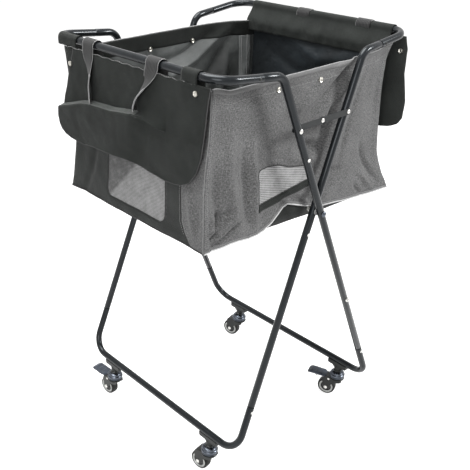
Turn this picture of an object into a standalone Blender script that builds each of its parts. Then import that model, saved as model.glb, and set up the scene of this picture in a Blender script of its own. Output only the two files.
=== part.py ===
"""Folding ball hopper: two bent-tube loops crossed as an X, a cloth ball bag and four casters.

Metres, +Z up. The origin is on the floor under the middle. The front handle is at -X,
the rear handle at +X, the right side is -Y and the left side is +Y.
"""
from math import acos, atan2, cos, hypot, pi, radians, sin, tan

import bmesh
import bpy
from mathutils import Matrix, Vector

# Frame loops
TUBE_RADIUS = 0.008
TUBE_WALL = 0.0010
BASE_HALF_SPAN = 0.2195
BASE_HEIGHT = 0.112
BEND_X = 0.129
BEND_HEIGHT = 0.936
END_X = 0.280
HANDLE_RISE = 0.017
LOOP_HALF_WIDTH_BASE = 0.270
LOOP_HALF_WIDTH_END = 0.250
LEG_GAP = 0.004
BASE_CORNER_RADIUS = 0.045
BEND_RADIUS = 0.030
END_CORNER_RADIUS = 0.042
ARC_STEPS = 4
TUBE_STEPS = 2

# Telescoped joints between the tubes of a loop
LOW_JOINT_HEIGHT = 0.220
HANDLE_JOINT_X = 0.180
SPIGOT_LENGTH = 0.028
SWAGE_LENGTH = 0.003
SPIGOT_FIT = 0.0006
JOINT_RIVET_INSET = 0.014

# Clearances
GAP = 0.0003
RUNNING_GAP = 0.0004

# Hardware on the legs
PIVOT_BOLT_RADIUS = 0.003
PIVOT_HEAD_RADIUS = 0.0062
PIVOT_HEAD_HEIGHT = 0.0034
PIVOT_NUT_RADIUS = 0.0058
PIVOT_NUT_HEIGHT = 0.005
SPACER_RADIUS = 0.0075
RIVET_RADIUS = 0.0020
RIVET_HEAD_RADIUS = 0.0042
RIVET_HEAD_HEIGHT = 0.0018
SCREW_HEAD_RADIUS = 0.0038
SCREW_HEAD_HEIGHT = 0.0022
HEAD_SINK = 0.0005
SCREW_HEIGHTS = (0.389, 0.761)
REAR_RIVET_HEIGHT = 0.583

# Folding stays
STAY_DROP = 0.111
STAY_WIDTH = 0.016
STAY_THICKNESS = 0.0014
FOLD_ANGLE = radians(28.0)

# Casters
CASTER_INSET = 0.086
WHEEL_RADIUS = 0.0235
WHEEL_WIDTH = 0.018
TYRE_INNER_RADIUS = 0.0185
HUB_HALF_WIDTH = 0.0104
TRAIL = 0.025
AXLE_RADIUS = 0.0025
AXLE_HEAD_RADIUS = 0.0048
AXLE_HEAD_THICKNESS = 0.0018
FORK_PLATE_BOTTOM = 0.0560
FORK_PLATE_THICKNESS = 0.0020
FORK_LEG_THICKNESS = 0.0016
FORK_BOSS_RADIUS = 0.0075
RACE_RADIUS = 0.0180
RACE_HEIGHT = 0.0075
KINGPIN_RADIUS = 0.004
KINGPIN_HEAD_RADIUS = 0.0066
KINGPIN_HEAD_HEIGHT = 0.0045
KINGPIN_TAIL_HEIGHT = 0.0027
BRACKET_THICKNESS = 0.0015
BRACKET_TOP_HALF_LENGTH = 0.028
BRACKET_NECK_HALF_LENGTH = 0.011
BRACKET_CORNER_RADIUS = 0.007
PEDAL_THICKNESS = 0.0022
PEDAL_HALF_WIDTH = 0.0125
PEDAL_REACH = 0.076
PEDAL_PIVOT_X = 0.019
PEDAL_PIVOT_HEIGHT = 0.0520
PEDAL_PIN_RADIUS = 0.0018
CASTER_HEADINGS = {
    "front_right": radians(98.0),
    "front_left": radians(95.0),
    "rear_right": radians(112.0),
    "rear_left": radians(104.0),
}
BRAKED_CASTERS = ("front_left", "rear_right")

# Ball bag
CLOTH = 0.0024
BAG_TOP_DROP = 0.026
BAG_DEPTH = 0.311
BAG_HALF_LENGTH = 0.273
BAG_HALF_WIDTH = 0.2285
CORNER_REACH = 0.150
TRAY_WALL = 0.0020
TRAY_HEIGHT = 0.044
TRAY_FRONT_GAP = 0.0008
TRAY_REAR_GAP = 0.0045
BOARD_THICKNESS = 0.003
HEM_POINTS = ((-0.105, 0.003), (-0.056, 0.036), (-0.005, 0.026), (0.064, 0.009))
SIDE_WINDOW_X = (-0.137, 0.020)
SIDE_WINDOW_RISE = (0.074, 0.134)
END_WINDOW_Y = (-0.098, 0.098)
END_WINDOW_RISE = (0.030, 0.168)
MESH_THICKNESS = 0.0008
SWING_CLEARANCE = 0.0020
SWING_BAND = 0.010
SWEEP_MARGIN = 0.004
SWEEP_FADE = 0.022

# End flaps, straps and snaps
FLAP_THICKNESS = 0.0014
WRAP_CLEARANCE = 0.0003
WRAP_THICKNESS = 0.0020
FLAP_TOP_DROP = 0.014
FLAP_DEPTH = 0.205
FLAP_CORNER = 0.045
FLAP_ROWS = 12
HOOK_STEPS = 6
FLAP_EDGE_LEFT = 0.236
REAR_FLAP_EDGE_LEFT = 0.2235
FLAP_EDGE_RIGHT = -0.204
SHELF_DEPTH = 0.014
SHELF_DROP = 0.026
SHELF_ROLL = 0.012
SHELF_FADE = 0.160
SHELF_START = -0.105
SHELF_RUN = 0.070
FRONT_WRAPS = ((-0.213, -0.170), (-0.115, -0.061), (0.092, 0.196))
REAR_WRAPS = ((-0.213, 0.196),)
STRAP_CENTRES = (-0.088, 0.119)
STRAP_END_DROPS = (0.085, 0.113)
STRAP_WIDTH = 0.040
STRAP_THICKNESS = 0.0016
STRAP_INNER_DROP = 0.063
GRIP_HEIGHT = 0.022
SNAP_RADIUS = 0.0050
SNAP_HEIGHT = 0.0018
SNAP_SINK = 0.0004
SIDE_SNAPS = (-0.103, 0.030)
SIDE_SNAP_DROP = 0.028
FLAP_SNAPS = ((0.172, 0.033), (-0.196, 0.017))

# Sizes worked out from the ones above
END_HEIGHT = BEND_HEIGHT + HANDLE_RISE
STAY_HEIGHT = BEND_HEIGHT - STAY_DROP
BAG_TOP = END_HEIGHT - BAG_TOP_DROP
BAG_BOTTOM = BAG_TOP - BAG_DEPTH
TRAY_RIM = BAG_BOTTOM + TRAY_HEIGHT
FLAP_TOP = END_HEIGHT - FLAP_TOP_DROP
FLAP_BOTTOM = FLAP_TOP - FLAP_DEPTH
STRAP_ENDS = tuple(END_HEIGHT - drop for drop in STRAP_END_DROPS)
STRAP_INNER_END = END_HEIGHT - STRAP_INNER_DROP
GRIP_BOTTOM = STRAP_INNER_END - GRIP_HEIGHT
LOOP_SHIFT = TUBE_RADIUS + LEG_GAP / 2
LEG_SLOPE = (BASE_HALF_SPAN + BEND_X) / (BEND_HEIGHT - BASE_HEIGHT)
PIVOT_HEIGHT = BASE_HEIGHT + BASE_HALF_SPAN / LEG_SLOPE
RACE_BOTTOM = FORK_PLATE_BOTTOM + FORK_PLATE_THICKNESS + GAP
BRACKET_BOTTOM = RACE_BOTTOM + RACE_HEIGHT + GAP
FORK_SLOT_HALF = HUB_HALF_WIDTH + GAP
FORK_HALF_WIDTH = FORK_SLOT_HALF + FORK_LEG_THICKNESS
WRAP_INNER = TUBE_RADIUS + WRAP_CLEARANCE
WRAP_OUTER = WRAP_INNER + WRAP_THICKNESS
STRAP_INNER = WRAP_OUTER + RUNNING_GAP
STRAP_OUTER = STRAP_INNER + STRAP_THICKNESS

FRONT, REAR = -1, 1
RIGHT, LEFT = -1, 1
ENDS = {"front": FRONT, "rear": REAR}
SIDES = {"right": RIGHT, "left": LEFT}
ROUND_SIDES = 12

# How the bag hangs. Level -1 is its bottom, 0 the tray's rim, 1 the grip's lower edge and
# 2 its top. The end walls' corners are drawn in from the half length by the amounts given.
END_SAG = {
    (FRONT, RIGHT): ((-1, -0.0140), (0, -0.0138), (0.38, -0.0138), (0.60, -0.0120), (0.89, -0.0030), (1, 0.0)),
    (FRONT, LEFT): ((-1, -0.0120), (0, -0.0065), (0.38, -0.0025), (0.77, -0.0005), (1, 0.0)),
    (REAR, RIGHT): ((-1, -0.0100), (0, 0.0042), (0.10, 0.0095), (0.38, 0.0155), (0.67, 0.0125), (0.91, 0.0055), (1, 0.0)),
    (REAR, LEFT): ((-1, -0.0100), (0, 0.0042), (0.10, 0.0095), (0.38, 0.0155), (0.67, 0.0125), (0.91, 0.0055), (1, 0.0)),
}
# The side walls' corners are drawn in from the half width by these
SIDE_DRAW = {
    (FRONT, RIGHT): ((0, 0.0), (2, 0.0)),
    (FRONT, LEFT): ((0, 0.0), (0.20, 0.0225), (0.38, 0.0315), (0.77, 0.0205), (1, 0.0125), (2, 0.0)),
    (REAR, RIGHT): ((0, 0.0), (0.15, 0.0225), (0.38, 0.0365), (0.55, 0.0340), (1, 0.0200), (2, 0.0)),
    (REAR, LEFT): ((0, 0.0), (0.15, 0.0200), (0.38, 0.0255), (0.90, 0.0165), (2, 0.0)),
}
WALL_LEVELS = (0.0, 0.13, 0.26, 0.38, 0.50, 0.60, 0.70, 0.80, 1.0)
CORNER_COLUMNS = (0.48, 0.62, 0.75, 0.86)
END_COLUMNS = (-0.72, -0.15, 0.15, 0.72)
SWING_STEPS = 28


def clear_scene():
    """Start from an empty file."""
    for item in list(bpy.data.objects):
        bpy.data.objects.remove(item, do_unlink=True)


def new_collection(name):
    collection = bpy.data.collections.new(name)
    bpy.context.scene.collection.children.link(collection)
    return collection


def make_material(name, colour, roughness, metallic=0.0):
    """One Principled BSDF per finish."""
    material = bpy.data.materials.new(name)
    material.use_nodes = True
    shader = material.node_tree.nodes["Principled BSDF"]
    shader.inputs["Base Color"].default_value = (*colour, 1.0)
    shader.inputs["Roughness"].default_value = roughness
    shader.inputs["Metallic"].default_value = metallic
    material.diffuse_color = (*colour, 1.0)
    return material


clear_scene()
PARTS = new_collection("ball_hopper")
CUTTERS = new_collection("cutters")
PAINT = make_material("black_paint", (0.035, 0.037, 0.040), 0.28, 0.3)
ZINC = make_material("zinc_steel", (0.62, 0.62, 0.60), 0.30, 1.0)
DARK_STEEL = make_material("dark_steel", (0.30, 0.31, 0.32), 0.35, 1.0)
PEDAL_STEEL = make_material("pedal_steel", (0.33, 0.36, 0.40), 0.40, 0.8)
FORK_PAINT = make_material("fork_paint", (0.05, 0.05, 0.045), 0.40, 0.3)
RUBBER = make_material("tyre_rubber", (0.02, 0.02, 0.02), 0.70)
RIM_PLASTIC = make_material("rim_plastic", (0.62, 0.64, 0.62), 0.45)
HEATHER = make_material("heather_cloth", (0.16, 0.16, 0.165), 0.90)
BLACK_CLOTH = make_material("black_cloth", (0.045, 0.048, 0.048), 0.85)
MESH_CLOTH = make_material("mesh_cloth", (0.30, 0.30, 0.30), 0.85)
BOARD = make_material("board_plastic", (0.05, 0.05, 0.05), 0.60)


def add_object(name, mesh, material, matrix=None, smooth=True):
    """Put a mesh into the model under its node's name."""
    mesh.name = name
    item = bpy.data.objects.new(name, mesh)
    item.matrix_world = matrix or Matrix.Identity(4)
    mesh.materials.clear()
    mesh.materials.append(material)
    PARTS.objects.link(item)
    if smooth:
        mesh.shade_smooth()
        mesh.set_sharp_from_angle(angle=radians(35))
    return item


def evaluated_mesh(item):
    """The mesh of a helper object with its modifiers applied; the helper is removed."""
    graph = bpy.context.evaluated_depsgraph_get()
    mesh = bpy.data.meshes.new_from_object(item.evaluated_get(graph))
    bpy.data.objects.remove(item, do_unlink=True)
    return mesh


def weld(mesh, distance=0.00001):
    """Join the loose caps that a curve leaves."""
    shape = bmesh.new()
    shape.from_mesh(mesh)
    bmesh.ops.remove_doubles(shape, verts=shape.verts, dist=distance)
    bmesh.ops.recalc_face_normals(shape, faces=shape.faces)
    shape.to_mesh(mesh)
    shape.free()
    return mesh


def turned(profile, sides=ROUND_SIDES, closed=False):
    """A solid of revolution about Z; the profile (radius, height) runs top to bottom outside."""
    mesh = bpy.data.meshes.new("profile")
    count = len(profile)
    edges = [(i, i + 1) for i in range(count - 1)]
    if closed:
        edges.append((count - 1, 0))
    mesh.from_pydata([(r, 0.0, z) for r, z in profile], edges, [])
    item = bpy.data.objects.new("profile", mesh)
    PARTS.objects.link(item)
    screw = item.modifiers.new("turn", "SCREW")
    screw.steps = sides
    screw.render_steps = sides
    screw.use_merge_vertices = True
    screw.merge_threshold = 0.00001
    return weld(evaluated_mesh(item))


def outline_plate(loops, thickness):
    """A flat plate in XY, centred on Z = 0; the loops after the first are holes."""
    curve = bpy.data.curves.new("outline", "CURVE")
    curve.dimensions = "2D"
    curve.fill_mode = "BOTH"
    curve.extrude = thickness / 2
    for loop in loops:
        spline = curve.splines.new("POLY")
        spline.points.add(len(loop) - 1)
        for point, (x, y) in zip(spline.points, loop):
            point.co = (x, y, 0.0, 1.0)
        spline.use_cyclic_u = True
    item = bpy.data.objects.new("outline", curve)
    PARTS.objects.link(item)
    mesh = weld(evaluated_mesh(item))
    bpy.data.curves.remove(curve)
    return mesh


def circle(radius, centre=(0.0, 0.0), sides=ROUND_SIDES):
    turn = 2 * pi / sides
    return [
        (centre[0] + radius * cos(i * turn), centre[1] + radius * sin(i * turn))
        for i in range(sides)
    ]


def rounded_outline(corners, radius, steps=4):
    """A closed outline whose corners are rounded."""
    points = []
    count = len(corners)
    for i in range(count):
        before = Vector(corners[i - 1])
        corner = Vector(corners[i])
        after = Vector(corners[(i + 1) % count])
        points += [(p.x, p.y) for p in corner_arc(before, corner, after, radius, steps)]
    return points


def corner_arc(before, corner, after, radius, steps):
    """The points of the arc that rounds one corner, in 2D or 3D."""
    first = (before - corner).normalized()
    second = (after - corner).normalized()
    half = acos(max(-1.0, min(1.0, first.dot(second)))) / 2
    centre = corner + (first + second).normalized() * radius / sin(half)
    start = corner + first * radius / tan(half) - centre
    end = corner + second * radius / tan(half) - centre
    sweep = pi - 2 * half
    points = []
    for i in range(steps + 1):
        share = i / steps
        weight_end = sin(share * sweep) / sin(sweep)
        weight_start = sin((1 - share) * sweep) / sin(sweep)
        points.append(centre + start * weight_start + end * weight_end)
    return points


def bar(length, width, end_sides=8, holes=()):
    """The outline of a flat bar with round ends from x = 0 to x = length."""
    radius = width / 2
    points = []
    for centre, first in ((length, -pi / 2), (0.0, pi / 2)):
        for i in range(end_sides + 1):
            angle = first + i * pi / end_sides
            points.append((centre + radius * cos(angle), radius * sin(angle)))
    return [points] + [circle(r, (x, 0.0)) for x, r in holes]


def box_mesh(low, high):
    shape = bmesh.new()
    bmesh.ops.create_cube(shape, size=1.0)
    size = Vector(high) - Vector(low)
    middle = (Vector(high) + Vector(low)) / 2
    bmesh.ops.transform(
        shape, matrix=Matrix.Translation(middle) @ Matrix.Diagonal((*size, 1.0)), verts=shape.verts
    )
    mesh = bpy.data.meshes.new("box")
    shape.to_mesh(mesh)
    shape.free()
    return mesh


def cylinder_mesh(radius, length, sides=ROUND_SIDES):
    """A cylinder along Z, centred on the origin."""
    shape = bmesh.new()
    bmesh.ops.create_cone(
        shape, cap_ends=True, segments=sides, radius1=radius, radius2=radius, depth=length
    )
    mesh = bpy.data.meshes.new("cylinder")
    shape.to_mesh(mesh)
    shape.free()
    return mesh


def combine(item, mesh, matrix=None, operation="DIFFERENCE"):
    """Cut a shape out of an object, or join one to it, with a Boolean modifier."""
    cutter = bpy.data.objects.new("cut_" + item.name, mesh)
    cutter.matrix_world = matrix or Matrix.Identity(4)
    cutter.display_type = "WIRE"
    cutter.hide_render = True
    CUTTERS.objects.link(cutter)
    modifier = item.modifiers.new(operation.lower(), "BOOLEAN")
    modifier.object = cutter
    modifier.operation = operation
    modifier.solver = "EXACT"


ALONG_Y = Matrix.Rotation(-pi / 2, 4, "X")
FACING_RIGHT = Matrix.Rotation(pi / 2, 4, "X")


def drill(item, centre, radius, length):
    """A round hole along Y."""
    combine(item, cylinder_mesh(radius, length), Matrix.Translation(centre) @ ALONG_Y)


# Frame geometry

def loop_half_width(height):
    share = (height - BASE_HEIGHT) / (END_HEIGHT - BASE_HEIGHT)
    return LOOP_HALF_WIDTH_BASE + (LOOP_HALF_WIDTH_END - LOOP_HALF_WIDTH_BASE) * share


def loop_point(end, side, x, height):
    """A point on the loop whose handle is at the given end; the loops sit side by side."""
    return Vector((x, end * LOOP_SHIFT + side * loop_half_width(height), height))


def leg_point(end, side, height):
    x = end * (LEG_SLOPE * (height - BASE_HEIGHT) - BASE_HALF_SPAN)
    return loop_point(end, side, x, height)


def base_corner(end, side):
    return leg_point(end, side, BASE_HEIGHT)


def bend_corner(end, side):
    return leg_point(end, side, BEND_HEIGHT)


def end_corner(end, side):
    return loop_point(end, side, end * END_X, END_HEIGHT)


def handle_joint(end, side):
    bend = bend_corner(end, side)
    share = (HANDLE_JOINT_X - BEND_X) / (END_X - BEND_X)
    return bend.lerp(end_corner(end, side), share)


def leg_direction(end, side):
    return (bend_corner(end, side) - base_corner(end, side)).normalized()


def handle_direction(end, side):
    return (end_corner(end, side) - bend_corner(end, side)).normalized()


def tube(name, points, scales=None):
    """A hollow round tube along the points; scales change its radius point by point."""
    curve = bpy.data.curves.new("route", "CURVE")
    curve.dimensions = "3D"
    curve.bevel_depth = TUBE_RADIUS
    curve.bevel_resolution = TUBE_STEPS
    spline = curve.splines.new("POLY")
    spline.points.add(len(points) - 1)
    for i, point in enumerate(points):
        spline.points[i].co = (*point, 1.0)
        spline.points[i].radius = scales[i] if scales else 1.0
    route = bpy.data.objects.new("route", curve)
    PARTS.objects.link(route)
    mesh = evaluated_mesh(route)
    bpy.data.curves.remove(curve)
    item = add_object(name, weld(mesh), PAINT)
    wall = item.modifiers.new("wall", "SOLIDIFY")
    wall.thickness = TUBE_WALL
    wall.offset = -1.0
    wall.use_even_offset = True
    wall.use_rim = True
    return item


def outer_start(end, side):
    """Where the base tube's open end stands, just past the leg tube's swage."""
    joint = leg_point(end, side, LOW_JOINT_HEIGHT)
    return joint - leg_direction(end, side) * (SWAGE_LENGTH + GAP)


def outer_handle_start(end, side):
    return handle_joint(end, side) + handle_direction(end, side) * (SWAGE_LENGTH + GAP)


def base_tube(end_name, end):
    points = [outer_start(end, RIGHT)]
    corners = [points[0], base_corner(end, RIGHT), base_corner(end, LEFT), outer_start(end, LEFT)]
    for i in (1, 2):
        points += corner_arc(*corners[i - 1:i + 2], BASE_CORNER_RADIUS, ARC_STEPS)
    return tube(end_name + "_base_tube", points + [corners[3]])


def end_bar(end_name, end):
    start = outer_handle_start(end, RIGHT)
    finish = outer_handle_start(end, LEFT)
    corners = [start, end_corner(end, RIGHT), end_corner(end, LEFT), finish]
    points = [start]
    for i in (1, 2):
        points += corner_arc(*corners[i - 1:i + 2], END_CORNER_RADIUS, ARC_STEPS)
    return tube(end_name + "_end_bar", points + [finish])


def leg_tube(end_name, end, side_name, side):
    """A leg with its handle bend, swaged down at both ends to enter its neighbours."""
    spigot = (TUBE_RADIUS - TUBE_WALL - SPIGOT_FIT) / TUBE_RADIUS
    low = leg_point(end, side, LOW_JOINT_HEIGHT)
    high = handle_joint(end, side)
    down = -leg_direction(end, side)
    out = handle_direction(end, side)
    arc = corner_arc(low, bend_corner(end, side), high, BEND_RADIUS, ARC_STEPS)
    points = [low + down * SPIGOT_LENGTH, low + down * SWAGE_LENGTH, low, *arc, high]
    points += [high + out * SWAGE_LENGTH, high + out * SPIGOT_LENGTH]
    scales = [spigot, spigot] + [1.0] * (len(arc) + 2) + [spigot, spigot]
    return tube(f"{end_name}_leg_{side_name}", points, scales)


def rivet(shank, radius=RIVET_RADIUS, head=RIVET_HEAD_RADIUS, height=RIVET_HEAD_HEIGHT):
    """A domed rivet: head above Z = 0, shank below."""
    profile = [
        (0.0, height),
        (head * 0.62, height * 0.82),
        (head, height * 0.25),
        (head, 0.0),
        (radius, 0.0),
        (radius, -shank),
        (0.0, -shank),
    ]
    return turned(profile, 8)


def low_rivet_point(end, side):
    joint = leg_point(end, side, LOW_JOINT_HEIGHT)
    return joint - leg_direction(end, side) * JOINT_RIVET_INSET


def handle_rivet_point(end, side):
    return handle_joint(end, side) + handle_direction(end, side) * JOINT_RIVET_INSET


def fasten(item, centre, side, mesh):
    """Press a fastener into a tube's outer side; the two become one body."""
    facing = FACING_RIGHT if side == RIGHT else ALONG_Y
    seat = Vector(centre) + Vector((0.0, side * (TUBE_RADIUS - HEAD_SINK), 0.0))
    combine(item, mesh, Matrix.Translation(seat) @ facing, "UNION")


def build_loop(end_name, end):
    """The four tubes of one loop, with their fasteners and the holes for the hinges."""
    low_tube = base_tube(end_name, end)
    top_tube = end_bar(end_name, end)
    joint_rivet = rivet(TUBE_WALL - HEAD_SINK, RIVET_RADIUS * 0.8)
    screw = rivet(TUBE_WALL - HEAD_SINK, RIVET_RADIUS * 0.8, SCREW_HEAD_RADIUS, SCREW_HEAD_HEIGHT)
    heights = SCREW_HEIGHTS if end == FRONT else (REAR_RIVET_HEIGHT,)
    for side_name, side in SIDES.items():
        leg = leg_tube(end_name, end, side_name, side)
        fasten(low_tube, low_rivet_point(end, side), side, joint_rivet)
        fasten(top_tube, handle_rivet_point(end, side), side, joint_rivet)
        for height in heights:
            fasten(leg, leg_point(end, side, height), side, screw)
        drill(leg, leg_point(end, side, PIVOT_HEIGHT), PIVOT_BOLT_RADIUS + GAP, TUBE_RADIUS * 3)
        drill(leg, leg_point(end, side, STAY_HEIGHT), RIVET_RADIUS + GAP, TUBE_RADIUS * 3)


def build_pivots():
    """The two bolts that the loops scissor on, from the front leg's face to the nut."""
    reach = LEG_GAP + 4 * TUBE_RADIUS + 2 * GAP
    head = [
        (0.0, PIVOT_HEAD_HEIGHT),
        (PIVOT_HEAD_RADIUS * 0.6, PIVOT_HEAD_HEIGHT * 0.85),
        (PIVOT_HEAD_RADIUS, PIVOT_HEAD_HEIGHT * 0.3),
        (PIVOT_HEAD_RADIUS, 0.0),
        (PIVOT_BOLT_RADIUS, 0.0),
        (PIVOT_BOLT_RADIUS, -reach - PIVOT_NUT_HEIGHT - 0.0015),
        (0.0, -reach - PIVOT_NUT_HEIGHT - 0.0015),
    ]
    bolt = turned(head)
    hole = PIVOT_BOLT_RADIUS + GAP
    half = LEG_GAP / 2 - GAP
    spacer = turned(
        [(SPACER_RADIUS, half), (SPACER_RADIUS, -half), (hole, -half), (hole, half)], closed=True
    )
    nut = outline_plate([circle(PIVOT_NUT_RADIUS, sides=6), circle(hole)], PIVOT_NUT_HEIGHT)
    for side_name, side in SIDES.items():
        centre = Vector((0.0, side * loop_half_width(PIVOT_HEIGHT), PIVOT_HEIGHT))
        face = centre - Vector((0.0, reach / 2, 0.0))
        back = centre + Vector((0.0, reach / 2 + PIVOT_NUT_HEIGHT / 2, 0.0))
        add_object("pivot_bolt_" + side_name, bolt.copy(), ZINC, Matrix.Translation(face) @ FACING_RIGHT)
        place = Matrix.Translation(centre) @ ALONG_Y
        add_object("pivot_spacer_" + side_name, spacer.copy(), RIM_PLASTIC, place)
        place = Matrix.Translation(back) @ ALONG_Y
        add_object("pivot_nut_" + side_name, nut.copy(), ZINC, place, False)


# Folding stays

def stay_pin(end, side):
    """The stay's hinge on a leg, at mid gap between the two loops."""
    point = leg_point(end, side, STAY_HEIGHT)
    point.y = side * loop_half_width(STAY_HEIGHT)
    return point


def stay_plane(end):
    """How far the bar's middle lies from mid gap; front bars lie towards -Y."""
    return end * (RUNNING_GAP + STAY_THICKNESS) / 2


def build_stays():
    length = abs(stay_pin(FRONT, RIGHT).x)
    hole = RIVET_RADIUS + GAP
    loops = bar(length, STAY_WIDTH, holes=((0.0, hole), (length, hole)))
    plate = outline_plate(loops, STAY_THICKNESS)
    for end_name, end in ENDS.items():
        for side_name, side in SIDES.items():
            pin = stay_pin(end, side)
            place = Matrix.Translation(pin + Vector((0.0, stay_plane(end), 0.0)))
            if end == REAR:
                place = place @ Matrix.Rotation(pi, 4, "Z")
            add_object(f"{end_name}_stay_{side_name}", plate.copy(), PAINT, place @ FACING_RIGHT)
            mesh, seat = stay_leg_rivet(end, side, pin)
            add_object(f"{end_name}_stay_rivet_{side_name}", mesh, ZINC, seat)
    knuckle = rivet(STAY_THICKNESS + GAP)
    for side_name, side in SIDES.items():
        face = stay_plane(FRONT) - STAY_THICKNESS / 2 - GAP
        seat = Vector((0.0, side * loop_half_width(STAY_HEIGHT) + face, STAY_HEIGHT))
        place = Matrix.Translation(seat) @ FACING_RIGHT
        add_object("stay_knuckle_" + side_name, knuckle.copy(), ZINC, place)


def stay_leg_rivet(end, side, pin):
    """Front pins enter from the leg's face, rear pins from the bar's face."""
    bar_face = stay_plane(end) - STAY_THICKNESS / 2
    through = 2 * TUBE_RADIUS + LEG_GAP / 2
    if end == FRONT:
        start = -through - GAP
        shank = -start + bar_face + STAY_THICKNESS
    else:
        start = bar_face - GAP
        shank = through - start + GAP
    seat = pin + Vector((0.0, start, 0.0))
    return rivet(shank), Matrix.Translation(seat) @ FACING_RIGHT


# Casters

def caster_places():
    """Each caster's stem on the floor plane; front casters stand under the rear loop."""
    places = {}
    for name in CASTER_HEADINGS:
        end = REAR if name.startswith("front") else FRONT
        side = RIGHT if name.endswith("right") else LEFT
        corner = base_corner(end, side)
        places[name] = Vector((corner.x, corner.y - side * CASTER_INSET, 0.0))
    return places


def fork_mesh_parts():
    """The fork's side outline and its top plate, trail along +X."""
    top = FORK_PLATE_BOTTOM + FORK_PLATE_THICKNESS
    boss = [
        (TRAIL + FORK_BOSS_RADIUS * cos(a), WHEEL_RADIUS + FORK_BOSS_RADIUS * sin(a))
        for a in [radians(205 + 30 * i) for i in range(7)]
    ]
    outline = [(-0.009, top), (-0.009, top - 0.010)] + boss + [(0.026, top)]
    side = outline_plate([outline], 2 * FORK_HALF_WIDTH)
    return side, cylinder_mesh(RACE_RADIUS, FORK_PLATE_THICKNESS, 20)


def build_fork(name, place, braked):
    side, plate = fork_mesh_parts()
    side.transform(FACING_RIGHT)
    item = add_object("fork_" + name, side, FORK_PAINT, place)
    plate_height = FORK_PLATE_BOTTOM + FORK_PLATE_THICKNESS / 2
    combine(item, plate, place @ Matrix.Translation((0, 0, plate_height)), "UNION")
    reach = TRAIL + WHEEL_RADIUS * 2
    slot = box_mesh(
        (-reach, -FORK_SLOT_HALF, -WHEEL_RADIUS), (reach, FORK_SLOT_HALF, FORK_PLATE_BOTTOM)
    )
    combine(item, slot, place)
    pin_hole = cylinder_mesh(KINGPIN_RADIUS + GAP, FORK_PLATE_THICKNESS * 4)
    combine(item, pin_hole, place @ Matrix.Translation((0, 0, plate_height)))
    axle_hole = cylinder_mesh(AXLE_RADIUS + GAP, FORK_HALF_WIDTH * 3)
    combine(item, axle_hole, place @ Matrix.Translation((TRAIL, 0, WHEEL_RADIUS)) @ ALONG_Y)
    if braked:
        hinge = Matrix.Translation((PEDAL_PIVOT_X, 0, PEDAL_PIVOT_HEIGHT))
        hole = cylinder_mesh(PEDAL_PIN_RADIUS + GAP, FORK_HALF_WIDTH * 3)
        combine(item, hole, place @ hinge @ ALONG_Y)
    return item


def build_wheel(name, place):
    half = WHEEL_WIDTH / 2
    tyre = [
        (TYRE_INNER_RADIUS, half),
        (WHEEL_RADIUS - 0.0030, half),
        (WHEEL_RADIUS - 0.0006, half - 0.0020),
        (WHEEL_RADIUS, half - 0.0045),
        (WHEEL_RADIUS, -half + 0.0045),
        (WHEEL_RADIUS - 0.0006, -half + 0.0020),
        (WHEEL_RADIUS - 0.0030, -half),
        (TYRE_INNER_RADIUS, -half),
    ]
    rim_radius = TYRE_INNER_RADIUS - GAP
    bore = AXLE_RADIUS + GAP
    dish = half - 0.0025
    rim = [(bore, HUB_HALF_WIDTH), (0.0062, HUB_HALF_WIDTH), (0.0070, dish), (0.0135, dish)]
    rim += [(0.0148, half - 0.0005), (rim_radius, half - 0.0005)]
    rim += [(r, -z) for r, z in reversed(rim)]
    hub = place @ Matrix.Translation((TRAIL, 0, WHEEL_RADIUS)) @ ALONG_Y
    add_object("tyre_" + name, turned(tyre, 20, closed=True), RUBBER, hub)
    add_object("rim_" + name, turned(rim, 12, closed=True), RIM_PLASTIC, hub)


def build_axle(name, place):
    face = FORK_HALF_WIDTH + GAP
    top = face + AXLE_HEAD_THICKNESS
    half = [(0.0, top), (AXLE_HEAD_RADIUS * 0.8, top), (AXLE_HEAD_RADIUS, face + 0.0006)]
    half += [(AXLE_HEAD_RADIUS, face), (AXLE_RADIUS, face)]
    profile = half + [(r, -z) for r, z in reversed(half)]
    hub = place @ Matrix.Translation((TRAIL, 0, WHEEL_RADIUS)) @ ALONG_Y
    add_object("axle_" + name, turned(profile), ZINC, hub)


def build_pedal(name, place):
    """The brake pedal: a tread plate outside the fork, a root and a pin inside it."""
    reach = PEDAL_REACH - PEDAL_PIVOT_X
    neck = FORK_SLOT_HALF - 2 * GAP
    wide = reach * 0.28
    tread = [(-0.005, -neck), (wide - 0.006, -neck), (wide, -PEDAL_HALF_WIDTH)]
    tread += [(reach - 0.004, -PEDAL_HALF_WIDTH), (reach, -PEDAL_HALF_WIDTH + 0.005)]
    outline = tread + [(x, -y) for x, y in reversed(tread)]
    mesh = outline_plate([outline], PEDAL_THICKNESS)
    hinge = Matrix.Translation((PEDAL_PIVOT_X, 0, PEDAL_PIVOT_HEIGHT))
    matrix = place @ hinge
    item = add_object("brake_pedal_" + name, mesh, PEDAL_STEEL, matrix)
    pin = cylinder_mesh(PEDAL_PIN_RADIUS, 2 * (FORK_HALF_WIDTH + 0.001))
    combine(item, pin, matrix @ ALONG_Y, "UNION")


def bracket_mesh():
    """The folded saddle under the base tube, in the tube's frame with its length along Y."""
    inner = TUBE_RADIUS + GAP
    outer = inner + BRACKET_THICKNESS
    floor = BRACKET_BOTTOM - BASE_HEIGHT
    web = floor + BRACKET_THICKNESS
    section = [(-outer, 0.0), (-outer, floor), (outer, floor), (outer, 0.0)]
    section += [(inner, 0.0), (inner, web), (-inner, web), (-inner, 0.0)]
    return outline_plate([section], 2 * BRACKET_TOP_HALF_LENGTH)


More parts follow.
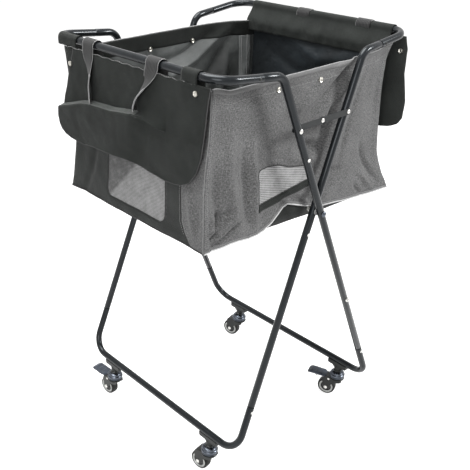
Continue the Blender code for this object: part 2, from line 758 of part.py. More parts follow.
def bracket_window():
    """The outline seen from the side that trims the folded saddle to its tapered shape."""
    half = BRACKET_TOP_HALF_LENGTH
    neck = BRACKET_NECK_HALF_LENGTH
    low = BRACKET_BOTTOM - BASE_HEIGHT
    corners = [(-half - 0.002, 0.01), (-half + 0.001, low * 0.38), (-neck, low * 0.92)]
    corners += [(-neck, low - 0.006), (neck, low - 0.006)]
    corners += [(neck, low * 0.92), (half - 0.001, low * 0.38), (half + 0.002, 0.01)]
    plate = outline_plate([corners], 0.06)
    plate.transform(Matrix.Rotation(pi / 2, 4, "Z") @ FACING_RIGHT)
    return plate


def trimmed_bracket():
    folded = bracket_mesh()
    folded.transform(FACING_RIGHT)
    item = bpy.data.objects.new("saddle", folded)
    PARTS.objects.link(item)
    combine(item, bracket_window(), operation="INTERSECT")
    floor = BRACKET_BOTTOM - BASE_HEIGHT
    combine(item, cylinder_mesh(KINGPIN_RADIUS + GAP, 0.01), Matrix.Translation((0, 0, floor)))
    return evaluated_mesh(item)


def swivel_stem_mesh():
    """Nut, stem, bearing cup and tail in one turned piece; the saddle's web sits in its groove."""
    web_top = BRACKET_BOTTOM + BRACKET_THICKNESS + GAP
    tail_top = FORK_PLATE_BOTTOM - GAP
    cup_top = RACE_BOTTOM + RACE_HEIGHT
    return turned([
        (0.0, web_top + KINGPIN_HEAD_HEIGHT),
        (KINGPIN_HEAD_RADIUS * 0.9, web_top + KINGPIN_HEAD_HEIGHT),
        (KINGPIN_HEAD_RADIUS, web_top + KINGPIN_HEAD_HEIGHT * 0.7),
        (KINGPIN_HEAD_RADIUS, web_top),
        (KINGPIN_RADIUS, web_top),
        (KINGPIN_RADIUS, cup_top),
        (RACE_RADIUS * 0.66, cup_top),
        (RACE_RADIUS, cup_top - RACE_HEIGHT * 0.5),
        (RACE_RADIUS, RACE_BOTTOM),
        (KINGPIN_RADIUS, RACE_BOTTOM),
        (KINGPIN_RADIUS, tail_top),
        (KINGPIN_HEAD_RADIUS, tail_top),
        (KINGPIN_HEAD_RADIUS * 0.8, tail_top - KINGPIN_TAIL_HEIGHT),
        (0.0, tail_top - KINGPIN_TAIL_HEIGHT),
    ], 14)


def build_casters():
    places = caster_places()
    saddle = trimmed_bracket()
    stem = swivel_stem_mesh()
    lift = Vector((0.0, 0.0, BASE_HEIGHT))
    for name, spot in places.items():
        bracket_place = Matrix.Translation(spot + lift)
        add_object("caster_bracket_" + name, saddle.copy(), PAINT, bracket_place, False)
        add_object("swivel_stem_" + name, stem.copy(), DARK_STEEL, Matrix.Translation(spot))
        place = Matrix.Translation(spot) @ Matrix.Rotation(CASTER_HEADINGS[name], 4, "Z")
        braked = name in BRAKED_CASTERS
        build_fork(name, place, braked)
        build_wheel(name, place)
        build_axle(name, place)
        if braked:
            build_pedal(name, place)


# Ball bag

def between(stops, place):
    """Straight interpolation through (place, value) stops."""
    if place <= stops[0][0]:
        return stops[0][1]
    for (low, first), (high, second) in zip(stops, stops[1:]):
        if place <= high:
            return first + (second - first) * (place - low) / (high - low)
    return stops[-1][1]


def bag_level(height):
    """The height on the scale of END_SAG and SIDE_DRAW."""
    marks = ((BAG_BOTTOM, -1.0), (TRAY_RIM, 0.0), (GRIP_BOTTOM, 1.0), (BAG_TOP, 2.0))
    return between(marks, height)


def level_height(level):
    marks = ((-1.0, BAG_BOTTOM), (0.0, TRAY_RIM), (1.0, GRIP_BOTTOM), (2.0, BAG_TOP))
    return between(marks, level)


def corner_length(end, side, height):
    """How far from the middle a corner of the bag stands along X."""
    return BAG_HALF_LENGTH - between(END_SAG[(end, side)], bag_level(height))


def smooth(share):
    share = max(0.0, min(1.0, share))
    return share * share * (3 - 2 * share)


def side_draw(side, x, height):
    """How far a side wall is drawn in. What the rear flap swings through stays clear."""
    level = bag_level(height)
    total = 0.0
    for end in ENDS.values():
        away = corner_length(end, side, height) - end * x
        share = 1 - smooth(away / CORNER_REACH)
        if end == REAR:
            sweep = hypot(END_X, FLAP_BOTTOM - PIVOT_HEIGHT) + SWEEP_MARGIN
            radius = hypot(x, height - PIVOT_HEIGHT)
            share *= max(0.0, min(1.0, (sweep - radius) / SWEEP_FADE))
        total += between(SIDE_DRAW[(end, side)], level) * share
    return total


def side_spot(side, x, height):
    """A place on a side wall's outer face."""
    return Vector((x, side * (BAG_HALF_WIDTH - side_draw(side, x, height)), height))


def wall_heights(rises):
    """Heights of a wall's rows of points; the window's edges take the place of near rows."""
    edges = [BAG_BOTTOM + rise for rise in rises]
    rows = [level_height(level) for level in WALL_LEVELS]
    near = (rows[1] - rows[0]) / 3
    rows = [row for row in rows if min(abs(row - edge) for edge in edges) > near]
    return sorted(rows + edges + [BAG_TOP])


def cloth_wall(name, places, inward, thin, material):
    """A closed sheet through rows of places on its outer face; thin cells are sewn-in net."""
    inset = (CLOTH - MESH_THICKNESS) / 2
    depths = {False: (0.0, CLOTH), True: (inset, CLOTH - inset)}
    shape = bmesh.new()
    made = {}

    def corner(place, net, face):
        key = (place, net, face)
        if key not in made:
            i, j = place
            made[key] = shape.verts.new(places[j][i] + inward * depths[net][face])
        return made[key]

    across, up = len(places[0]) - 1, len(places) - 1
    cells = {(i, j): thin(i, j) for j in range(up) for i in range(across)}
    for (i, j), net in cells.items():
        ring = ((i, j), (i + 1, j), (i + 1, j + 1), (i, j + 1))
        for face in (0, 1):
            shape.faces.new([corner(place, net, face) for place in ring])
        beside = ((i, j - 1), (i + 1, j), (i, j + 1), (i - 1, j))
        for k, cell in enumerate(beside):
            first, second = ring[k], ring[(k + 1) % 4]
            if cell not in cells:
                rim = [(first, net, 0), (second, net, 0), (second, net, 1), (first, net, 1)]
                shape.faces.new([corner(*key) for key in rim])
            elif net and not cells[cell]:
                for face in (0, 1):
                    step = [(first, net, face), (second, net, face), (second, False, face)]
                    step.append((first, False, face))
                    shape.faces.new([corner(*key) for key in step])
    bmesh.ops.recalc_face_normals(shape, faces=shape.faces)
    mesh = bpy.data.meshes.new(name)
    shape.to_mesh(mesh)
    shape.free()
    return add_object(name, mesh, material)


def press_snap(item, matrix):
    """A snap cap pressed into cloth, one body with it."""
    combine(item, snap_mesh(), matrix, "UNION")


def side_columns(side):
    """Places along a side wall; the left wall's window and hem are the right one's turned round."""
    turn = -side
    marks = [x for x, _ in HEM_POINTS] + list(SIDE_WINDOW_X)
    corners = [share * BAG_HALF_LENGTH for share in CORNER_COLUMNS]
    return sorted([turn * x for x in marks] + corners + [-x for x in corners])


def hem_height(side, x):
    """Each side wall's hem is drawn up in the middle and shows the base tray."""
    edge = CORNER_COLUMNS[0] * BAG_HALF_LENGTH
    stops = ((-edge, 0.0), *HEM_POINTS, (edge, 0.0))
    return BAG_BOTTOM + between(stops, -side * x)


def side_places(side):
    columns = side_columns(side)
    heights = wall_heights(SIDE_WINDOW_RISE)
    rows = []
    for height in [None, *heights]:
        row = []
        for x in columns:
            row.append(side_spot(side, x, hem_height(side, x) if height is None else height))
        level = BAG_BOTTOM if height is None else height
        first = side_spot(side, -corner_length(FRONT, side, level), level)
        last = side_spot(side, corner_length(REAR, side, level), level)
        rows.append([first, *row, last])
    return rows


def faceted_width(places, x, height):
    """Half the bag's width out to a side wall's faceted outer face."""
    rows = []
    for row in places[1:]:
        stops = [(place.x, abs(place.y)) for place in row]
        rows.append((row[0].z, between(stops, x)))
    return between(rows, height)


def build_bag_sides():
    """The two long walls, pulled in towards three of the corners."""
    for side_name, side in SIDES.items():
        places = side_places(side)
        low, high = sorted(-side * x for x in SIDE_WINDOW_X)
        bottom, top = [BAG_BOTTOM + rise for rise in SIDE_WINDOW_RISE]

        def net(i, j, places=places, low=low, high=high, bottom=bottom, top=top):
            middle = (places[j][i] + places[j + 1][i + 1]) / 2
            return low < middle.x < high and bottom < middle.z < top and j > 0

        inward = Vector((0.0, -side, 0.0))
        wall = cloth_wall("bag_side_" + side_name, places, inward, net, HEATHER)
        turn = Matrix.Identity(4) if side == RIGHT else Matrix.Rotation(pi, 4, "Z")
        for x in SIDE_SNAPS:
            for face, flip in ((0.0, 0.0), (CLOTH, pi)):
                sink = SNAP_SINK if flip == 0.0 else -SNAP_SINK
                spot = Vector((x, -BAG_HALF_WIDTH + face + sink, BAG_TOP - SIDE_SNAP_DROP))
                place = turn @ Matrix.Translation(spot) @ FACING_RIGHT
                press_snap(wall, place @ Matrix.Rotation(flip, 4, "X"))


def end_spot(end, y, height):
    """A place on an end wall's outer face."""
    share = (y + BAG_HALF_WIDTH) / (2 * BAG_HALF_WIDTH)
    right = corner_length(end, RIGHT, height)
    left = corner_length(end, LEFT, height)
    return Vector((end * (right + (left - right) * share), y, height))


def end_half_width(end, side, height):
    """An end wall fills the bag between the side walls; the rear one also swings past them."""
    steps = SWING_STEPS if end == REAR else 0
    places = side_places(side)
    band = SWING_BAND if end == REAR else 0.0
    narrowest = BAG_HALF_WIDTH
    tested = [height + shift for shift in (-band, 0.0, band)]
    edges = [(corner_length(end, side, level), level) for level in tested]
    edges += [(reach - CLOTH, level) for reach, level in edges]
    for reach, level in edges:
        radius = hypot(reach, level - PIVOT_HEIGHT)
        start = atan2(level - PIVOT_HEIGHT, reach)
        for k in range(steps + 1):
            turn = start + FOLD_ANGLE * k / max(1, steps)
            level = PIVOT_HEIGHT + radius * sin(turn)
            inside = radius * cos(turn) <= corner_length(end, side, level) + CLOTH
            if inside and level < BAG_TOP:
                width = faceted_width(places, end * radius * cos(turn), level)
                narrowest = min(narrowest, width)
    return narrowest - CLOTH - (SWING_CLEARANCE if end == REAR else RUNNING_GAP)


def build_bag_ends():
    bottom, top = [BAG_BOTTOM + rise for rise in END_WINDOW_RISE]
    low, high = END_WINDOW_Y
    for end_name, end in ENDS.items():
        places = []
        for height in [BAG_BOTTOM, *wall_heights(END_WINDOW_RISE)]:
            right = -end_half_width(end, RIGHT, height)
            left = end_half_width(end, LEFT, height)
            inner = [share * left for share in END_COLUMNS]
            row = sorted([right, low, high, left, *inner])
            places.append([end_spot(end, y, height) for y in row])

        def net(i, j, places=places):
            middle = (places[j][i] + places[j + 1][i + 1]) / 2
            return low < middle.y < high and bottom < middle.z < top

        inward = Vector((-end, 0.0, 0.0))
        cloth_wall("bag_end_" + end_name, places, inward, net, BLACK_CLOTH)


def tray_length(end):
    """The tray stands inside the end walls; the rear one swings past its rim."""
    gap = TRAY_FRONT_GAP if end == FRONT else TRAY_REAR_GAP
    walls = [corner_length(end, side, TRAY_RIM) for side in SIDES.values()]
    return min(walls) - CLOTH - gap


def build_bag_base():
    """The dark tray inside the walls, and the stiff board lying in it."""
    front, rear = -tray_length(FRONT), tray_length(REAR)
    width = BAG_HALF_WIDTH - CLOTH - RUNNING_GAP
    block = box_mesh((front, -width, BAG_BOTTOM), (rear, width, TRAY_RIM))
    tray = add_object("bag_base_tray", block, BLACK_CLOTH, smooth=False)
    inner = TRAY_WALL
    floor = BAG_BOTTOM + TRAY_WALL
    hollow = box_mesh(
        (front + inner, -width + inner, floor), (rear - inner, width - inner, TRAY_RIM + inner)
    )
    combine(tray, hollow)
    edge = inner + RUNNING_GAP
    low = floor + GAP
    board = box_mesh(
        (front + edge, -width + edge, low), (rear - edge, width - edge, low + BOARD_THICKNESS)
    )
    add_object("base_board", board, BOARD, smooth=False)


# End flaps, straps and snaps

def shelf_bulge(y, height):
    """How far the front flap's cloth stands out: a soft shelf below the strap ends."""
    line = STRAP_ENDS[1] - SHELF_DROP - (y - STRAP_CENTRES[1]) * 0.14
    below = line - height
    fall = max(0.25, 1.0 - max(0.0, below) / SHELF_FADE)
    across = max(0.0, min(1.0, (y - SHELF_START) / SHELF_RUN))
    return SHELF_DEPTH * smooth(below / SHELF_ROLL + 0.3) * fall * across


def flap_edges(height, left_edge):
    """The flap's left and right edges at a height, with rounded lower corners."""
    share = max(0.0, (FLAP_BOTTOM + FLAP_CORNER - height) / FLAP_CORNER)
    inset = FLAP_CORNER * (1.0 - (max(0.0, 1.0 - share * share)) ** 0.5)
    spread = (FLAP_TOP - height) / (FLAP_TOP - FLAP_BOTTOM)
    left = left_edge - 0.020 * (1.0 - spread) - inset
    right = FLAP_EDGE_RIGHT - 0.008 * (1.0 - spread) + inset
    return left, right


def flap_spot(across, along, left_edge):
    """A place on a flap as (y, height); both shares run from 0 to 1."""
    height = FLAP_BOTTOM + (FLAP_TOP - FLAP_BOTTOM) * along
    left, right = flap_edges(height, left_edge)
    return right + (left - right) * across, height


def rear_flare():
    """The rear flap's hem stands out as far as the front shelf, which centres the object."""
    steps = [i / FLAP_ROWS for i in range(FLAP_ROWS + 1)]
    spots = [flap_spot(a, b, FLAP_EDGE_LEFT) for a in steps for b in steps]
    return max(shelf_bulge(y, height) for y, height in spots)


def flap_sheet(name, shelf):
    """The hanging part of an end flap, in the front end's place."""
    flare = rear_flare()
    left_edge = FLAP_EDGE_LEFT if shelf else REAR_FLAP_EDGE_LEFT
    shape = bmesh.new()
    bmesh.ops.create_grid(shape, x_segments=FLAP_ROWS, y_segments=FLAP_ROWS, size=1.0)
    for vertex in shape.verts:
        across = (vertex.co.x + 1) / 2
        along = (vertex.co.y + 1) / 2
        y, height = flap_spot(across, along, left_edge)
        stand = shelf_bulge(y, height) if shelf else flare * max(0.0, 1 - 2 * along)
        vertex.co = (-END_X - WRAP_INNER - WRAP_THICKNESS / 2 - stand, y, height)
    bmesh.ops.recalc_face_normals(shape, faces=shape.faces)
    mesh = bpy.data.meshes.new(name)
    shape.to_mesh(mesh)
    shape.free()
    return mesh


def hook_outline(inner, outer, outside_end, inside_end):
    """A band over the end bar seen along Y; it hangs outside and inside."""
    turns = [i * pi / HOOK_STEPS for i in range(HOOK_STEPS + 1)]
    arc_out = [(-outer * cos(turn), outer * sin(turn)) for turn in turns]
    arc_in = [(-inner * cos(turn), inner * sin(turn)) for turn in turns]
    outline = [(-outer, outside_end - END_HEIGHT)] + arc_out + [(outer, inside_end - END_HEIGHT)]
    outline += [(inner, inside_end - END_HEIGHT)] + list(reversed(arc_in))
    outline += [(-inner, outside_end - END_HEIGHT)]
    return [(x, z) for x, z in outline]


def hook(inner, outer, outside_end, inside_end, low_y, high_y):
    """A band over the front end bar between two places along it."""
    mesh = outline_plate([hook_outline(inner, outer, outside_end, inside_end)], high_y - low_y)
    middle = Vector((-END_X, (low_y + high_y) / 2, END_HEIGHT))
    mesh.transform(Matrix.Translation(middle) @ FACING_RIGHT)
    return mesh


def end_turn(end):
    return Matrix.Identity(4) if end == FRONT else Matrix.Rotation(pi, 4, "Z")


def build_flap(end_name, end):
    """One end flap: the sheet outside, joined to the bands that wrap the bar."""
    turn = end_turn(end)
    sheet = flap_sheet(end_name, end == FRONT)
    item = add_object(end_name + "_flap", sheet, BLACK_CLOTH, turn)
    skin = item.modifiers.new("cloth", "SOLIDIFY")
    skin.thickness = FLAP_THICKNESS
    skin.offset = 0.0
    for low_y, high_y in FRONT_WRAPS if end == FRONT else REAR_WRAPS:
        band = hook(WRAP_INNER, WRAP_OUTER, FLAP_TOP - 0.010, BAG_TOP + GAP, low_y, high_y)
        combine(item, band, turn, "UNION")
    face = -END_X - WRAP_INNER - WRAP_THICKNESS / 2 - FLAP_THICKNESS / 2 + SNAP_SINK
    facing = Matrix.Rotation(-pi / 2, 4, "Y")
    for y, drop in FLAP_SNAPS:
        press_snap(item, turn @ Matrix.Translation((face, y, FLAP_TOP - drop)) @ facing)


def build_strap(end_name, end):
    """The carry strap: two legs over the bar and the grip hanging inside the bag."""
    turn = end_turn(end)
    half = STRAP_WIDTH / 2
    inner_x = -END_X + STRAP_INNER
    grip = box_mesh(
        (inner_x, STRAP_CENTRES[0] - half, GRIP_BOTTOM),
        (inner_x + STRAP_THICKNESS, STRAP_CENTRES[1] + half, STRAP_INNER_END),
    )
    item = add_object(end_name + "_strap", grip, BLACK_CLOTH, turn, False)
    for centre, low in zip(STRAP_CENTRES, STRAP_ENDS):
        leg = hook(STRAP_INNER, STRAP_OUTER, low, GRIP_BOTTOM, centre - half, centre + half)
        combine(item, leg, turn, "UNION")


def snap_mesh():
    return turned([
        (0.0, SNAP_HEIGHT),
        (SNAP_RADIUS * 0.6, SNAP_HEIGHT * 0.85),
        (SNAP_RADIUS, SNAP_HEIGHT * 0.35),
        (SNAP_RADIUS, 0.0),
        (0.0, 0.0),
    ], 8)


for loop_name, loop_end in ENDS.items():
    build_loop(loop_name, loop_end)
build_pivots()
build_stays()
build_casters()
build_bag_sides()
build_bag_ends()
build_bag_base()
for flap_name, flap_end in ENDS.items():
    build_flap(flap_name, flap_end)
    build_strap(flap_name, flap_end)
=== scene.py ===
"""Looks for the folding ball hopper: smooth tubes, casters, cloth bag, flaps and straps on the CAD frame."""

from math import acos, cos, exp, hypot, pi, radians, sin, tan

import bmesh
import bpy
from mathutils import Matrix, Vector, noise
from mathutils.geometry import delaunay_2d_cdt


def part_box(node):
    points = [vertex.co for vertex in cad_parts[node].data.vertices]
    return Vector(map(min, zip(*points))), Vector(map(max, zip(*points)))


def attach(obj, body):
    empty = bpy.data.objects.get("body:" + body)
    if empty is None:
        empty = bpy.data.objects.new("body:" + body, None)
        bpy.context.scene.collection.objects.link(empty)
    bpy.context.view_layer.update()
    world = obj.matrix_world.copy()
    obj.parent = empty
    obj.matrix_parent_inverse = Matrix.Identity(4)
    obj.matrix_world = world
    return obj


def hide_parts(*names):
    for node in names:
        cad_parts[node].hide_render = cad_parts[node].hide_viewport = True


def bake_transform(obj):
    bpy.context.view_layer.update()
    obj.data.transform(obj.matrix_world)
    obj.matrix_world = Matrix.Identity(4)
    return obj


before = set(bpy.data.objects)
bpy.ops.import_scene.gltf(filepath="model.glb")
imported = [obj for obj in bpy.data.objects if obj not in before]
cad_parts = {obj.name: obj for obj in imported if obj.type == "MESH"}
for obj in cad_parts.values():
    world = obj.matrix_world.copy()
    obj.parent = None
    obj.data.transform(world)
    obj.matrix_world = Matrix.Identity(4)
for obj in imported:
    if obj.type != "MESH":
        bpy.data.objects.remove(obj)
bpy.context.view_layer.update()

# Sizes in metres, as in the solids but for four: the wheels are 1.6 mm wider here, the stays 3 mm narrower,
# the low front screws 3.5 mm lower, and the snap caps 0.2 mm larger in radius
TUBE_R = 0.008
BASE_X, BASE_Z = 0.2195, 0.112
BEND_X, BEND_Z = 0.129, 0.936
END_X, END_Z = 0.280, 0.953
WIDE, NARROW = 0.270, 0.250
SHIFT = 0.010
LOW_JOINT_Z = 0.220
HANDLE_JOINT_X = 0.180
STAY_Z = 0.825
SLOPE = (BASE_X + BEND_X) / (BEND_Z - BASE_Z)
FRONT, REAR = -1, 1
ENDS = {"front": FRONT, "rear": REAR}
SIDES = {"right": -1, "left": 1}
LOOPS = {FRONT: "front_loop", REAR: "rear_loop"}
HEADINGS = {"front_right": 98.0, "front_left": 95.0, "rear_right": 112.0, "rear_left": 104.0}
BRAKED = ("front_left", "rear_right")
TRAIL, WHEEL_R, WHEEL_W = 0.025, 0.0235, 0.0196
STAY_HALF = 0.0065
SNAP_R = 0.0052
CASTER_INSET = 0.086
SCREW_Z, HIGH_SCREW_Z, REAR_SCREW_Z = 0.3855, 0.761, 0.583
FLOOR_GLOW, WORLD_LEVEL = 0.84, 0.26
# Camera solved from both loops: focal length, width and centre of the picture in pixels, angles in degrees
FOCAL, PICTURE, CENTRE_X, CENTRE_Y = 738.0, 470.0, 199.3, 238.6
YAW, PITCH, ROLL = 48.20, 27.31, -0.09
CAMERA_PLACE, SENSOR = (-1.0964, -1.1205, 1.2783), 36.0
UPRIGHT, SIDEWAYS = (Matrix.Rotation(turn, 4, "X") for turn in (pi / 2, -pi / 2))


# Materials

class Shader:
    """A small helper to wire one Principled material."""

    def __init__(self, name, colour, rough, metallic=0.0, **constants):
        self.material = bpy.data.materials.new(name)
        self.material.use_nodes = True
        self.tree = self.material.node_tree
        self.body = self.tree.nodes["Principled BSDF"]
        self.set(self.body, "Base Color", (*colour, 1.0))
        self.set(self.body, "Roughness", rough)
        self.set(self.body, "Metallic", metallic)
        for key, value in constants.items():
            self.set(self.body, key.replace("_", " "), value)
        self.material.diffuse_color = (*colour, 1.0)

    def set(self, node, key, value):
        node.inputs[key].default_value = value

    def node(self, kind, **inputs):
        made = self.tree.nodes.new(kind)
        for key, value in inputs.items():
            self.feed(made, key.replace("_", " "), value)
        return made

    def feed(self, node, key, value):
        socket = node.inputs[int(key)] if key.isdigit() else node.inputs[key]
        if isinstance(value, bpy.types.NodeSocket):
            self.tree.links.new(value, socket)
        else:
            socket.default_value = value

    def where(self, kind="Object", scale=(1, 1, 1)):
        """Coordinates in metres, from the object or from the cloth's own map."""
        if kind == "UV":
            source = self.tree.nodes.new("ShaderNodeUVMap")
            source.uv_map = "cloth"
            out = source.outputs[0]
        else:
            out = self.tree.nodes.new("ShaderNodeTexCoord").outputs["Object"]
        mapping = self.node("ShaderNodeMapping", Vector=out, Scale=scale)
        return mapping.outputs[0]

    def noise(self, where, scale, detail=2.0, rough=0.5):
        made = self.node("ShaderNodeTexNoise", Vector=where, Scale=scale, Detail=detail, Roughness=rough)
        return made.outputs[0]

    def math(self, operation, a, b=0.0, c=0.0):
        made = self.tree.nodes.new("ShaderNodeMath")
        made.operation = operation
        for key, value in zip("012", (a, b, c)):
            self.feed(made, key, value)
        return made.outputs[0]

    def vector(self, operation, a, b=(0.0, 0.0, 0.0)):
        made = self.tree.nodes.new("ShaderNodeVectorMath")
        made.operation = operation
        self.feed(made, "0", a)
        self.feed(made, "1", b)
        return made.outputs

    def ramp(self, fac, stops):
        made = self.node("ShaderNodeValToRGB", Fac=fac)
        elements = made.color_ramp.elements
        while len(elements) < len(stops):
            elements.new(0.5)
        for element, (place, colour) in zip(elements, stops):
            element.position = place
            element.color = (*colour, 1.0)
        return made.outputs[0]

    def colour(self, value):
        self.feed(self.body, "Base Color", value)

    def rough(self, value):
        self.feed(self.body, "Roughness", value)

    def bump(self, height, strength, distance):
        made = self.node("ShaderNodeBump", Height=height, Strength=strength, Distance=distance)
        self.feed(self.body, "Normal", made.outputs[0])


def grey(value, tint=(1.0, 1.0, 1.0)):
    return tuple(value * t for t in tint)


def paint_material(name, value, tint, low, high, gloss=0.14):
    """Gloss powder coat with a faint orange peel and dusty patches."""
    # Painted reflection: the blue specular tint colours every highlight like a blue sky
    s = Shader(name, grey(value, tint), low, 0.0, Coat_Weight=0.26, Coat_Roughness=0.13,
               Specular_IOR_Level=gloss, Specular_Tint=(0.80, 0.92, 1.0, 1.0))
    at = s.where()
    dust = s.noise(at, 38.0, 5.0, 0.6)
    s.rough(s.math("MULTIPLY_ADD", dust, high - low, low))
    s.colour(s.ramp(dust, [(0.35, grey(value, tint)), (0.75, grey(value * 1.7, tint))]))
    s.bump(s.noise(at, 900.0, 2.0), 0.06, 0.0004)
    return s.material


def metal_material(name, value, tint, rough):
    """Plated steel with fine scratches and darker spots."""
    s = Shader(name, grey(value, tint), rough, 1.0)
    at = s.where(scale=(1.0, 1.0, 6.0))
    spots = s.noise(at, 260.0, 4.0, 0.65)
    s.colour(s.ramp(spots, [(0.3, grey(value * 0.5, tint)), (0.6, grey(value, tint))]))
    s.rough(s.math("MULTIPLY_ADD", spots, 0.25, rough - 0.08))
    s.bump(s.noise(at, 1500.0, 1.0), 0.08, 0.0002)
    return s.material


def rubber_material():
    s = Shader("tyre_rubber", grey(0.010), 0.55, Specular_IOR_Level=0.20)
    at = s.where()
    scuff = s.noise(at, 120.0, 5.0, 0.7)
    s.colour(s.ramp(scuff, [(0.4, grey(0.007)), (0.75, grey(0.028, (1.0, 0.99, 0.92)))]))
    s.bump(s.noise(at, 700.0, 3.0), 0.25, 0.0004)
    return s.material


def plastic_material(name, value, tint=(1, 1, 1)):
    s = Shader(name, grey(value, tint), 0.42)
    at = s.where()
    tone = s.noise(at, 160.0, 4.0, 0.6)
    s.colour(s.ramp(tone, [(0.3, grey(value * 0.78, tint)), (0.7, grey(value, tint))]))
    s.bump(s.noise(at, 1200.0, 2.0), 0.1, 0.0002)
    return s.material


def weave_height(s, at, threads):
    """Over-and-under threads: two crossing waves that take turns."""
    waves = [s.node("ShaderNodeTexWave", Vector=at, Scale=threads, Distortion=0.6, Detail=1.0) for _ in "XY"]
    for wave, direction in zip(waves, "XY"):
        wave.bands_direction = direction
    return s.math("MAXIMUM", waves[0].outputs[1], waves[1].outputs[1])


def heather_material():
    """Mottled grey melange: long pale and dark slubs along both thread directions."""
    s = Shader("heather_cloth", grey(0.15), 0.84, Sheen_Weight=0.12, Sheen_Roughness=0.5, Specular_IOR_Level=0.2)
    weft = s.noise(s.where("UV", (1.0, 3.2, 1.0)), 190.0, 3.0, 0.62)
    warp = s.noise(s.where("UV", (3.2, 1.0, 1.0)), 190.0, 3.0, 0.62)
    slubs = s.math("MULTIPLY_ADD", s.math("ADD", weft, warp), 0.5, 0.0)
    cloud = s.noise(s.where("UV"), 14.0, 3.0, 0.55)
    tone = s.math("MULTIPLY_ADD", s.math("SUBTRACT", cloud, 0.5), 0.14, slubs)
    stops = [(0.38, grey(0.045)), (0.48, grey(0.105)), (0.57, grey(0.165)), (0.70, grey(0.31))]
    s.colour(s.ramp(tone, stops))
    crinkle = s.noise(s.where("UV", (1.0, 0.7, 1.0)), 46.0, 4.0, 0.55)
    weave = s.math("ADD", weave_height(s, s.where("UV"), 320.0), slubs)
    s.bump(s.math("MULTIPLY_ADD", crinkle, 3.4, weave), 0.40, 0.0006)
    return s.material


def dark_cloth_material(name, value, threads=420.0, sheen=0.12, gloss=0.22):
    """Plain-woven black polyester with a dusty sheen."""
    tint = (0.92, 1.03, 0.95)
    s = Shader(name, grey(value), 0.74, Sheen_Weight=sheen, Sheen_Roughness=0.45, Specular_IOR_Level=gloss)
    at = s.where("UV")
    cloud = s.noise(at, 11.0, 5.0, 0.6)
    fine = s.noise(at, 420.0, 2.0, 0.6)
    tone = s.math("MULTIPLY_ADD", fine, 0.35, s.math("MULTIPLY", cloud, 0.65))
    s.colour(s.ramp(tone, [(0.35, grey(value * 0.65, tint)), (0.68, grey(value * 1.6, tint))]))
    s.bump(weave_height(s, at, threads), 0.4, 0.0005)
    return s.material


def lining_material(name, value, tint, gloss):
    """Thin coated lining: dark, slightly glossy, covered with small crinkles."""
    s = Shader(name, grey(value), 0.40, Sheen_Weight=0.06, Specular_IOR_Level=gloss)
    at = s.where("UV")
    crinkle = s.noise(s.where("UV", (1.0, 1.6, 1.0)), 26.0, 5.0, 0.62)
    cloud = s.noise(at, 9.0, 3.0, 0.6)
    s.colour(s.ramp(cloud, [(0.3, grey(value * 0.6, tint)), (0.7, grey(value * 1.4, tint))]))
    s.rough(s.math("MULTIPLY_ADD", crinkle, 0.35, 0.26))
    s.bump(s.math("ADD", crinkle, s.math("MULTIPLY", weave_height(s, at, 380.0), 0.06)), 0.55, 0.0040)
    return s.material


def net_material(name, light, dark, pitch, slant=0.0, clear=0.35, split=None):
    """Knitted net: pale threads round rows of partly see-through holes. The holes and their rims are painted dark as a
    painted shade for the inside seen through them, and split adds a painted shadow on one side of a slanting line.
    """
    s = Shader(name, grey(light), 0.8)
    mapping = s.where("UV")
    turned = s.node("ShaderNodeMapping", Vector=mapping, Rotation=(0.0, 0.0, slant))
    scaled = s.node("ShaderNodeMapping", Vector=turned.outputs[0], Scale=(1 / pitch, 1 / pitch, 1.0))
    cell = s.vector("FRACTION", scaled.outputs[0])[0]
    hole = s.vector("DISTANCE", cell, (0.5, 0.5, 0.0))["Value"]
    cloud = s.noise(mapping, 45.0, 4.0, 0.7)
    shade = s.math("MULTIPLY_ADD", s.math("SUBTRACT", cloud, 0.5), 0.45, hole)
    # Painted shadow: past a slanting line the net is darkened, for the shadow a flap casts on it
    if split:
        line = s.node("ShaderNodeMapping", Vector=mapping, Location=(-split[0], -split[1], 0.0))
        along = s.vector("DOT_PRODUCT", line.outputs[0], (split[2], split[3], 0.0))["Value"]
        side = s.node("ShaderNodeMapRange", Value=along, From_Min=-0.004, From_Max=0.004)
        shade = s.math("MULTIPLY_ADD", side.outputs[0], -0.22, shade)
    # Painted shade: the holes and their rims are coloured dark for the shaded inside of the bag
    s.colour(s.ramp(shade, [(0.24, grey(dark)), (0.44, grey(light))]))
    s.feed(s.body, "Alpha", s.math("GREATER_THAN", hole, clear * 0.5))
    s.bump(hole, 0.5, 0.0008)
    return s.material


def webbing_material(name, value):
    """Ribbed webbing: the ribs run along the strap."""
    s = Shader(name, grey(value), 0.82, Sheen_Weight=0.10, Specular_IOR_Level=0.2)
    at = s.where("UV")
    ribs = s.node("ShaderNodeTexWave", Vector=at, Scale=82.0, Distortion=0.4)
    ribs.bands_direction = "X"
    fuzz = s.noise(at, 600.0, 3.0)
    # Painted shade and highlight: the tone follows the rib height, darker in the grooves and lighter on the crests,
    # with random fuzz mixed in
    tone = s.math("MULTIPLY_ADD", fuzz, 0.5, s.math("MULTIPLY", ribs.outputs[1], 0.5))
    s.colour(s.ramp(tone, [(0.25, grey(value * 0.35)), (0.8, grey(value * 2.0))]))
    s.bump(ribs.outputs[1], 0.5, 0.0006)
    return s.material


def thread_material(name, value):
    s = Shader(name, grey(value), 0.75)
    at = s.where()
    fuzz = s.noise(at, 900.0, 3.0)
    s.colour(s.ramp(fuzz, [(0.35, grey(value * 0.6)), (0.65, grey(value))]))
    s.bump(fuzz, 0.3, 0.0003)
    return s.material


